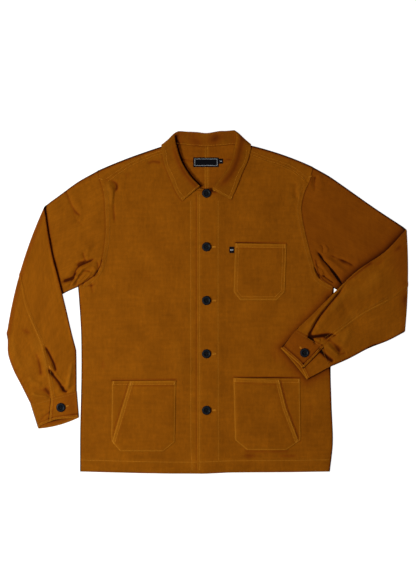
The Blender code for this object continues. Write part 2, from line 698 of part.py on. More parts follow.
def build_sleeve(name, material):
    sections, _, hole_share, bow_share = sleeve_rows(name)
    curve, shares = armhole(name)
    fold = elbow_fold(name)
    width = np.linalg.norm(curve[-1] - curve[0])
    first = towards(sections[0], sections[1])

    def place(k, ends, places):
        across = places[:, 0]
        flat = ends[0] + np.outer(across, ends[1] - ends[0])
        between = np.clip(across, shares[0], shares[-1])
        chord = curve[0] + np.outer(between, curve[-1] - curve[0])
        flat += (at_shares(curve, between) - chord) * hole_share[k]
        bows = [fold.bowed((spots - fold.start) @ fold.along) for spots in (flat, *ends)]
        bowed = bows[0] - bows[1] * (1 - across) - bows[2] * across
        flat += np.outer(bowed, fold.out) * bow_share[k]
        if k == 0:
            flat += np.outer(ARMHOLE_TRIM[0] * (1 - smooth(across * width / TRIM_REACH[0])), first[0])
            flat += np.outer(ARMHOLE_TRIM[1] * (1 - smooth((1 - across) * width / TRIM_REACH[1])), first[1])
        laid, z = lay_sleeve(name, flat, BACK_Z + (FRONT_Z - BACK_Z) * places[:, 1])
        return np.column_stack([laid, z])

    gap = SEAM / 2
    trimmed = sections.copy()
    trimmed[0] += first * gap
    trimmed[-1] += towards(sections[-1], sections[-2]) * gap

    def top_places(width):
        front, back, _ = ring_places(width)
        kept = [p for p in back if p[0] < BACK_SEAM - 0.02]
        first = (front[0][0], front[0][1] + EDGE_GAP / (FRONT_Z - BACK_Z))
        return [first] + front[1:] + kept + [(BACK_SEAM - gap / width, 0.0)]

    def under_places(width):
        _, back, low = ring_places(width)
        kept = [p for p in back if p[0] > BACK_SEAM + 0.02]
        last = (low[-1][0], low[-1][1] - EDGE_GAP / (FRONT_Z - BACK_Z))
        return [(BACK_SEAM + gap / width, 0.0)] + kept + low[:-1] + [last]

    strip(f"sleeve_{name}_top", trimmed, top_places, place, material)
    strip(f"sleeve_{name}_under", trimmed, under_places, place, material)


def build_cuff(name, material):
    """A band round the wrist whose upper end overlaps the lower one and takes the button."""
    band = sleeve_rows(name)[1]
    band[0] += towards(band[0], band[1]) * SEAM / 2
    front_z = FRONT_Z - (DOUBLE_CLOTH - CLOTH) / 2
    back_z = BACK_Z

    def places(width):
        front, back, low = ring_places(width)
        over = [p for p in back if p[0] < TAB_SHARE - 0.04] + [(TAB_SHARE, 0.0)]
        raised = [(s, -TAB_RAISE / (front_z - back_z) * smooth((s - 0.06) / 0.16)) for s, _ in over]
        under = [(TAB_SHARE - TAB_OVERLAP, 0.0)]
        under += [p for p in back if p[0] > TAB_SHARE - TAB_OVERLAP + 0.03] + low[:-1]
        return under + front + raised

    def place(k, ends, across):
        flat = ends[0] + np.outer(across[:, 0], ends[1] - ends[0])
        laid, z = lay_sleeve(name, flat, back_z + (front_z - back_z) * across[:, 1])
        return np.column_stack([laid, z])

    strip(f"cuff_{name}", band, places, place, material, DOUBLE_CLOTH)


def cuff_seat(name, place):
    """Height at which a button rests on the cuff's overlap."""
    flat = elbow_fold(name).unfold(np.array([place]))
    z = lay_sleeve(name, flat, np.array([BACK_Z - TAB_RAISE]))[1][0]
    return z + DOUBLE_CLOTH / 2 + SEAM


def collar_section(row):
    """Across the collar: from the neck seam up the stand, round the roll and down the fall."""
    ends = np.array([(row.seam_x, row.seam_y), (row.edge_x, row.edge_y)])
    raised = lift(ends)
    over = OVERLAP_RISE * smooth((CENTRE_OVERLAP + OVERLAP_RAMP - ends[:, 0]) / OVERLAP_RAMP)
    over *= ends[:, 0] > -CENTRE_OVERLAP - 3
    seam_z = BACK_Z + (FRONT_Z - BACK_Z + over[0]) * row.wrap + raised[0]
    edge_top = FRONT_Z + CLOTH / 2 + 2 * SEAM + DOUBLE_CLOTH / 2 + raised[1] + over[1]
    edge_z = FALL_Z + (edge_top - FALL_Z) * row.edge_wrap
    roll = np.array((row.roll_x, row.roll_y, row.roll_z))
    inwards = towards(ends[:1], roll[None, :2])[0] * COLLAR_GAP
    seam = np.array((*(ends[0] + inwards), seam_z))
    edge = np.array((row.edge_x, row.edge_y, edge_z))
    turn = math.radians(row.turn)
    heading = np.array((math.copysign(math.cos(turn), row.roll_x), 0, math.sin(turn)))
    start = seam + (roll - seam) * (0.35, 0.35, 0.15)
    behind, before = np.array(FALL_LEVEL)
    end = edge + (roll - edge) * (behind + (before - behind) * row.edge_wrap)
    reach = np.interp(row.edge_wrap, (0, 1), FALL_TURN)
    stand = [bezier(seam, start, roll - heading * STAND_TURN, roll, t) for t in STAND_SHARES]
    fall = [bezier(roll, roll + heading * reach, end, edge, t) for t in FALL_SHARES]
    return np.array(stand + fall)


def build_collar(material):
    rows = through(np.array(COLLAR, float), COLLAR_STEPS)
    row_type = type(COLLAR[0])
    lofted("collar", [collar_section(row_type(*row)) for row in rows], material, DOUBLE_CLOTH)


def build_button(name, x, y, z, material):
    """A rimmed disc with a dished face, turned about Z."""
    angles = np.arange(BUTTON_SEGMENTS) * 2 * math.pi / BUTTON_SEGMENTS
    rings = [[(r * math.cos(a), r * math.sin(a), h) for a in angles] for r, h in BUTTON_PROFILE]
    vertices = [point for ring in rings for point in ring] + [(0, 0, 0), (0, 0, BUTTON_CENTRE_Z)]
    count, last = BUTTON_SEGMENTS, len(BUTTON_PROFILE) - 1
    faces = []
    for k in range(count):
        after = (k + 1) % count
        faces.append((after, k, len(vertices) - 2))
        faces.append((last * count + k, last * count + after, len(vertices) - 1))
        for low in range(0, last * count, count):
            faces.append((low + k, low + after, low + count + after, low + count + k))
    made = object_from(name, vertices, faces, material)
    made.location = (x * MM, y * MM, z * MM)


for old in list(bpy.data.objects):
    bpy.data.objects.remove(old, do_unlink=True)
ROOT = bpy.data.objects.new("jacket", None)
bpy.context.scene.collection.objects.link(ROOT)

twill = surface("cotton_twill", (130, 74, 10), 0.85)
button_plastic = surface("button_resin", (32, 33, 38), 0.3)
label_weave = surface("label_weave", (22, 22, 26), 0.8)

for side_name in SIDES:
    build_back(side_name, twill)
    build_front(side_name, twill)
    build_sleeve(side_name, twill)
    build_cuff(side_name, twill)
build_collar(twill)

patch("chest_pocket", CHEST_POCKET, left_front, 1, twill)
patch("pocket_tab", POCKET_TAB, left_front, 1, label_weave, LABEL_WALL)
patch("pocket_right_backing", RIGHT_POCKET, right_front, 1, twill)
patch("pocket_right_front", RIGHT_SLANT, right_front, 2, twill)
patch("pocket_left_backing", LEFT_POCKET, left_front, 1, twill)
patch("pocket_left_front", LEFT_SLANT, left_front, 2, twill)
patch("neck_label", NECK_LABEL, back_height, 1, label_weave, LABEL_WALL)
patch("size_tag", SIZE_TAG, back_height, 1, label_weave, LABEL_WALL)

for number, row_y in enumerate(BUTTON_ROWS, 1):
    seat = left_front(np.array([(0.0, row_y)]))[0] + CLOTH / 2 + SEAM
    build_button(f"button_{number}", 0.0, row_y, seat, button_plastic)
for side_name, place in CUFF_BUTTONS.items():
    build_button(f"button_cuff_{side_name}", *place, cuff_seat(side_name, place), button_plastic)
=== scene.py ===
import json
import math

import bpy
import numpy as np
from mathutils import Matrix, Vector
from mathutils.bvhtree import BVHTree
from mathutils.geometry import delaunay_2d_cdt
from mathutils.kdtree import KDTree

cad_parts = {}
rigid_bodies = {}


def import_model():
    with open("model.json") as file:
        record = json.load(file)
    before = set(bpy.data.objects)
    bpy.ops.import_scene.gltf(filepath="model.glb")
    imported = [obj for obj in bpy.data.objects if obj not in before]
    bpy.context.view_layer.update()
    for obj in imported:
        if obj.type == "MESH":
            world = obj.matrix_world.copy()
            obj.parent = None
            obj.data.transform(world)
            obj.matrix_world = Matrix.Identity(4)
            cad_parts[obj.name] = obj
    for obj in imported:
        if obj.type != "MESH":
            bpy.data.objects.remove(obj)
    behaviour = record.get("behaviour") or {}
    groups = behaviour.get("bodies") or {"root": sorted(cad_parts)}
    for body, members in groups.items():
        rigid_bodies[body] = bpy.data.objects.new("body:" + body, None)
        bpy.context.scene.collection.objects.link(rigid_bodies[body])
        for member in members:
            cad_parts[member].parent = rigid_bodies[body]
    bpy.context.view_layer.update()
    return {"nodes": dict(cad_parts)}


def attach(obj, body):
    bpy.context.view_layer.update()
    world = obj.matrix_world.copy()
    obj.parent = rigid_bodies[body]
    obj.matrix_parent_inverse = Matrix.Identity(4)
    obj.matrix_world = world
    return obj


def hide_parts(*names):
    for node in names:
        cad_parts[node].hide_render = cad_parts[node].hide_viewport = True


for old in list(bpy.data.objects):
    bpy.data.objects.remove(old, do_unlink=True)
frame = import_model()
mm = 0.001
print("frame loaded, nodes:", len(frame["nodes"]))


# shape helpers, all in millimetres

def smooth(value):
    value = np.clip(value, 0.0, 1.0)
    return value * value * (3 - 2 * value)


def bell(distance, width):
    return np.exp(-(distance / width) ** 2)


def quarterRound(value):
    return np.sqrt(1 - (1 - np.clip(value, 0.0, 1.0)) ** 2)


def bezier(a, b, c, d, t):
    return a * (1 - t) ** 3 + 3 * b * t * (1 - t) ** 2 + 3 * c * t ** 2 * (1 - t) + d * t ** 3


def through(points, steps):
    # smooth curve through the points, the same number of steps between each two
    points = np.asarray(points, float)
    runs = np.diff(points, axis=0)
    runs = np.vstack([runs[:1], runs, runs[-1:]])
    times = np.sqrt(np.linalg.norm(runs, axis=1))[:, None]
    speeds = runs[:-1] / times[:-1] * times[1:] + runs[1:] / times[1:] * times[:-1]
    speeds /= times[:-1] + times[1:]
    found = []
    for k, (start, end) in enumerate(zip(points, points[1:])):
        leave, arrive = speeds[k] * times[k + 1], speeds[k + 1] * times[k + 1]
        for t in np.arange(steps) / steps:
            found.append(bezier(start, start + leave / 3, end - arrive / 3, end, t))
    return np.array(found + [points[-1]])


def lengthsOf(curve):
    return np.concatenate([[0], np.cumsum(np.linalg.norm(np.diff(curve, axis=0), axis=1))])


def atLengths(curve, where):
    lengths = lengthsOf(curve)
    return np.column_stack([np.interp(where, lengths, curve[:, k]) for k in range(curve.shape[1])])


def atShares(curve, shares):
    return atLengths(curve, np.asarray(shares) * lengthsOf(curve)[-1])


def evenly(curve, step):
    # the curve again with points about step apart
    total = lengthsOf(curve)[-1]
    return atLengths(curve, np.linspace(0, total, max(2, round(total / step) + 1)))


def nearestOnLine(points, line):
    # signed distance (left is positive) and the length along the line of the nearest place
    best = np.full(len(points), 1e9)
    side = np.ones(len(points))
    along = np.zeros(len(points))
    done = 0.0
    for start, end in zip(line, line[1:]):
        run = end - start
        size = np.linalg.norm(run)
        offset = points - start
        share = np.clip(offset @ run / max(size ** 2, 1e-9), 0, 1)
        away = np.linalg.norm(offset - share[:, None] * run, axis=1)
        closer = away < best
        best = np.where(closer, away, best)
        side = np.where(closer, np.sign(run[0] * offset[:, 1] - run[1] * offset[:, 0]), side)
        along = np.where(closer, done + share * size, along)
        done += size
    return best * np.where(side == 0, 1, side), along


def nearLine(points, line, reach):
    # the points within reach of the line's box, with their distances and lengths along it
    line = np.asarray(line, float)
    low, high = line.min(axis=0) - reach, line.max(axis=0) + reach
    near = np.flatnonzero(((points > low) & (points < high)).all(axis=1))
    if not len(near):
        return near, np.empty(0), np.empty(0)
    return (near, *nearestOnLine(points[near], line))


def addAlong(values, points, lines, height, width, reach):
    # a soft band of the height along each line
    for line in lines:
        near, away, _ = nearLine(points, line, reach)
        values[near] += height * bell(away, width)


def lineDistance(points, line):
    return np.abs(nearestOnLine(points, np.asarray(line, float))[0])


def insideOf(points, outline):
    closed = np.vstack([outline, outline[:1]])
    inside = np.zeros(len(points), bool)
    for (ax, ay), (bx, by) in zip(closed, closed[1:]):
        if ay != by:
            crossed = (ay > points[:, 1]) != (by > points[:, 1])
            inside ^= crossed & (points[:, 0] < ax + (points[:, 1] - ay) * (bx - ax) / (by - ay))
    return inside


def outsideDistance(points, outline):
    closed = np.vstack([outline, outline[:1]])
    return np.where(insideOf(points, outline), -1, 1) * lineDistance(points, closed)


def clearOf(points, others, distance):
    tree = KDTree(len(others))
    for k, (x, y) in enumerate(others):
        tree.insert((x, y, 0), k)
    tree.balance()
    return points[[tree.find((x, y, 0))[2] > distance for x, y in points]]


def inset(outline, distance):
    outline = np.asarray(outline, float)
    run = np.roll(outline, -1, axis=0) - outline
    run /= np.maximum(np.linalg.norm(run, axis=1), 1e-9)[:, None]
    area = np.sum(outline[:, 0] * np.roll(outline[:, 1], -1) - np.roll(outline[:, 0], -1) * outline[:, 1])
    inward = np.column_stack([-run[:, 1], run[:, 0]]) * np.sign(area)
    bisector = inward + np.roll(inward, 1, axis=0)
    bisector /= np.maximum((bisector ** 2).sum(axis=1), 0.5)[:, None] / 2
    return outline + bisector * distance


def offsetLine(line, distance):
    # an open line moved to its left, or to its right where the distance is negative
    line = np.asarray(line, float)
    run = np.gradient(line, axis=0)
    run /= np.maximum(np.linalg.norm(run, axis=1), 1e-9)[:, None]
    return line + np.column_stack([-run[:, 1], run[:, 0]]) * distance


def waviness(points, seed, size, height):
    # slow unevenness of cloth that isn't ironed flat
    random = np.random.default_rng(seed)
    total = np.zeros(len(points))
    for _ in range(7):
        angle, length = random.uniform(0, math.tau), size * random.uniform(0.6, 1.7)
        heading = np.array((math.cos(angle), math.sin(angle)))
        total += np.sin(points @ heading * math.tau / length + random.uniform(0, math.tau))
    return total * height / math.sqrt(7)


class Fold:
    # a fold line in flat cloth: what lies beyond it turns back over the rest
    def __init__(self, start, end, bow, outward, centreZ, meanRadius):
        self.start = np.asarray(start, float)
        run = np.subtract(end, start)
        self.length = np.linalg.norm(run)
        self.along = run / self.length
        self.out = np.array([-self.along[1], self.along[0]]) * outward
        self.bow = bow
        self.centreZ = centreZ
        self.arc = math.pi * meanRadius

    def split(self, points):
        offset = np.asarray(points, float) - self.start
        along = offset @ self.along
        return along, offset @ self.out - self.axis(along)

    def bowed(self, along):
        share = np.clip(along / self.length, 0, 1)
        return self.bow * 4 * share * (1 - share)

    def axis(self, along):
        return self.bowed(along) - self.centreZ

    def join(self, along, past):
        out = self.axis(along) + past
        return self.start + np.multiply.outer(along, self.along) + np.multiply.outer(out, self.out)

    def unfold(self, points):
        along, past = self.split(points)
        return self.join(along, self.arc - past)

    def crease(self, points):
        along, _ = self.split(points)
        return self.join(along, np.full(len(along), self.arc / 2))

    def lay(self, points, z):
        along, past = self.split(points)
        turn = np.clip(past / self.arc, 0, 1) * math.pi
        radius = self.centreZ - z
        flat = np.where(past < 0, past, np.where(past > self.arc, self.arc - past, radius * np.sin(turn)))
        return self.join(along, flat), self.centreZ - radius * np.cos(turn), turn / math.pi


# the jacket's plan: +X to the wearer's left, +Y to the collar, +Z up from the surface it lies on

cloth = {
    "wall": 1.2,  # heavy twill
    "doubleWall": 2.0,  # collar and cuffs
    "labelWall": 1.0,
    "seam": 0.3,
    "lap": 0.4,  # each piece passes its seam line by this
    "meshStep": 3.6,  # half of it in creases
    "hiddenStep": 7.2,  # on panels that lie under others
    "edgeStep": 2.8,
    "edgeRow": 0.9,  # row of points just inside each edge, so that its rounding stays narrow
}
layers = {
    "backZ": 0.6,
    "frontZ": 4.2,
    "sideZ": 2.1,
    "edgeRound": 8.0,
    "bodyFoldZ": 2.4,
    "sleeveFoldZ": 5.1,
}
centre = {
    "overlap": 21.0,
    "rise": 2.0,
    "ramp": 26.0,
    "hemY": -388.0,
    "hemDrop": ((-290, -222, -153, -84, -20, 0, 20, 54, 192, 283),
                (0, 1.8, 3.7, 4.7, 4.9, 4.5, 3.6, 2.3, 1.4, 0)),
    "corner": 7.0,
    "top": {"right": 250.0, "left": 257.0},
}
sides = {
    "right": {
        "sign": -1,
        "shoulderNeck": (-84.0, 364.0),
        "shoulderEnd": (-249.6, 303.4),
        "bow": 3.0,
        "seam": ((-130.0, 331.0), (-176.0, 310.0)),
        "armhole": (
            (-249.6, 303.4), (-244.3, 282.4), (-235.1, 247.3), (-232.3, 212.8), (-231.4, 162.2),
            (-235.8, 120.8), (-247.3, 77.1), (-269.3, 52.7), (-294.9, 38.0),
        ),
        "side": ((-292.0, 1.0), (-288.0, -66.0), (-287.0, -158.0), (-290.0, -314.0)),
        "hemX": -290.0,
    },
    "left": {
        "sign": 1,
        "shoulderNeck": (84.0, 364.5),
        "shoulderEnd": (244.3, 311.7),
        "bow": 5.0,
        "seam": ((136.0, 325.0), (190.7, 306.0)),
        "armhole": (
            (244.3, 311.7), (236.9, 280.6), (225.4, 254.2), (218.0, 222.0), (219.5, 196.0),
            (232.8, 134.6), (244.5, 92.0), (256.0, 58.0), (292.6, 35.4),
        ),
        "side": ((291.0, 1.0), (289.0, -66.0), (285.0, -146.0), (287.0, -234.0), (290.0, -323.0)),
        "hemX": 283.0,
    },
}
# sleeve edges as they lie: upper x, upper y, lower x, lower y
sleeveRows = {
    "right": (
        ("arm", -249.6, 303.4, -294.9, 38.0),
        ("arm", -295.6, 277.2, -332.0, 20.0),
        ("arm", -338.0, 246.0, -392.0, -24.0),
        ("fold", -371.5, 222.0, -457.0, -62.0),
        ("forearm", -356.0, 122.0, -455.5, -118.0),
        ("forearm", -330.0, 19.0, -445.0, -151.0),
        ("forearm", -304.5, -90.0, -425.0, -191.0),
        ("forearm", -298.0, -203.6, -404.3, -232.3),
        ("cuff", -293.2, -263.0, -386.6, -288.7),
    ),
    "left": (
        ("arm", 244.3, 311.7, 292.6, 35.4),
        ("arm", 280.0, 291.8, 318.0, 20.0),
        ("arm", 313.0, 269.0, 345.0, 5.0),
        ("arm", 385.0, 218.0, 400.0, -30.0),
        ("fold", 459.8, 169.0, 456.0, -67.0),
        ("forearm", 410.0, 117.0, 417.0, -87.5),
        ("forearm", 343.0, 70.7, 371.0, -106.0),
        ("forearm", 271.0, 1.0, 328.0, -128.5),
        ("forearm", 222.5, -49.0, 286.0, -146.5),
        ("cuff", 171.0, -104.5, 230.7, -176.0),
    ),
}
elbowBow = {"right": 10.5, "left": 5.0}

# collar sections: seam x y wrap, roll x y z, edge x y wrap, turn
collarRows = (
    (-17, 263, 1.0, -16, 267, 9.5, -55.4, 234.1, 1.0, 90),
    (-36, 271, 1.0, -32, 283, 11.0, -67.6, 251.0, 1.0, 90),
    (-60, 291, 1.0, -49, 306, 12.0, -83.0, 286.0, 1.0, 90),
    (-80, 320, 1.0, -62, 334, 13.0, -96.0, 319.0, 1.0, 90),
    (-88, 344, 1.0, -70, 362, 13.0, -101.0, 344.0, 1.0, 80),
    (-86, 357, 0.8, -72.5, 380, 12.0, -102.5, 355.5, 1.0, 45),
    (-81, 361, 0.5, -71.5, 386, 10.5, -102.0, 362.0, 0.5, 0),
    (-73, 362, 0.15, -67, 390.5, 9.5, -98.5, 359.0, 0.0, -45),
    (-60, 362, 0.0, -62, 392, 9.0, -84.0, 337.0, 0.0, -80),
    (-32, 359, 0.0, -34, 391, 9.0, -44.0, 326.0, 0.0, -90),
    (0, 357.5, 0.0, 0, 388, 9.0, 0.0, 323.0, 0.0, -90),
    (32, 359, 0.0, 34, 392, 9.0, 44.0, 326.0, 0.0, -90),
    (60, 362, 0.0, 61, 394, 9.0, 84.0, 337.0, 0.0, -80),
    (72, 362, 0.15, 65, 391.5, 9.5, 98.0, 360.0, 0.0, -45),
    (80, 361, 0.5, 69.5, 386, 10.5, 101.0, 363.0, 0.5, 0),
    (84, 357, 0.8, 70, 378, 12.0, 101.0, 357.0, 1.0, 45),
    (85, 344, 1.0, 66, 359, 13.0, 99.5, 347.0, 1.0, 80),
    (77, 320, 1.0, 60, 332, 13.0, 94.0, 326.0, 1.0, 90),
    (59, 291, 1.0, 49, 306, 12.0, 81.0, 296.0, 1.0, 90),
    (38, 270, 1.0, 33, 285, 11.0, 68.0, 263.0, 1.0, 90),
    (19, 255, 1.0, 14, 260, 9.5, 56.4, 237.1, 1.0, 90),
)
collarShoulders = (4, 16)

# swells that the solids have too, softer here: layer, from, to, width, height
mainFolds = (
    ("body", (-226, 276), (-223, 190), 12, 2.6),
    ("body", (-292, 199), (-322, 248), 14, 1.8),
    ("body", (-334, 50), (-300, 76), 13, 3.2),
    ("body", (-300, 76), (-262, 100), 12, 2.6),
    ("body", (-187, -13), (-84, -13), 20, 1.4),
    ("body", (-262, 20), (-240, -60), 20, 1.5),
    ("body", (208, 275), (205, 236), 12, 2.0),
    ("body", (256, 270), (262, 225), 14, 2.2),
    ("body", (275, 112), (316, 60), 12, 3.4),
    ("body", (290, 120), (345, 92), 14, 2.4),
    ("body", (222, -200), (232, -320), 22, 1.4),
    ("forearm", (-384, -100), (-350, -175), 13, 2.6),
    ("forearm", (-392, -60), (-414, -200), 16, 2.0),
    ("forearm", (-312, -120), (-320, -200), 12, 1.8),
    ("forearm", (310, 20), (252, -62), 13, 2.6),
    ("forearm", (390, 60), (300, -70), 16, 2.2),
    ("forearm", (330, -70), (262, -100), 14, 2.8),
    ("forearm", (420, -20), (330, -110), 16, 1.6),
)

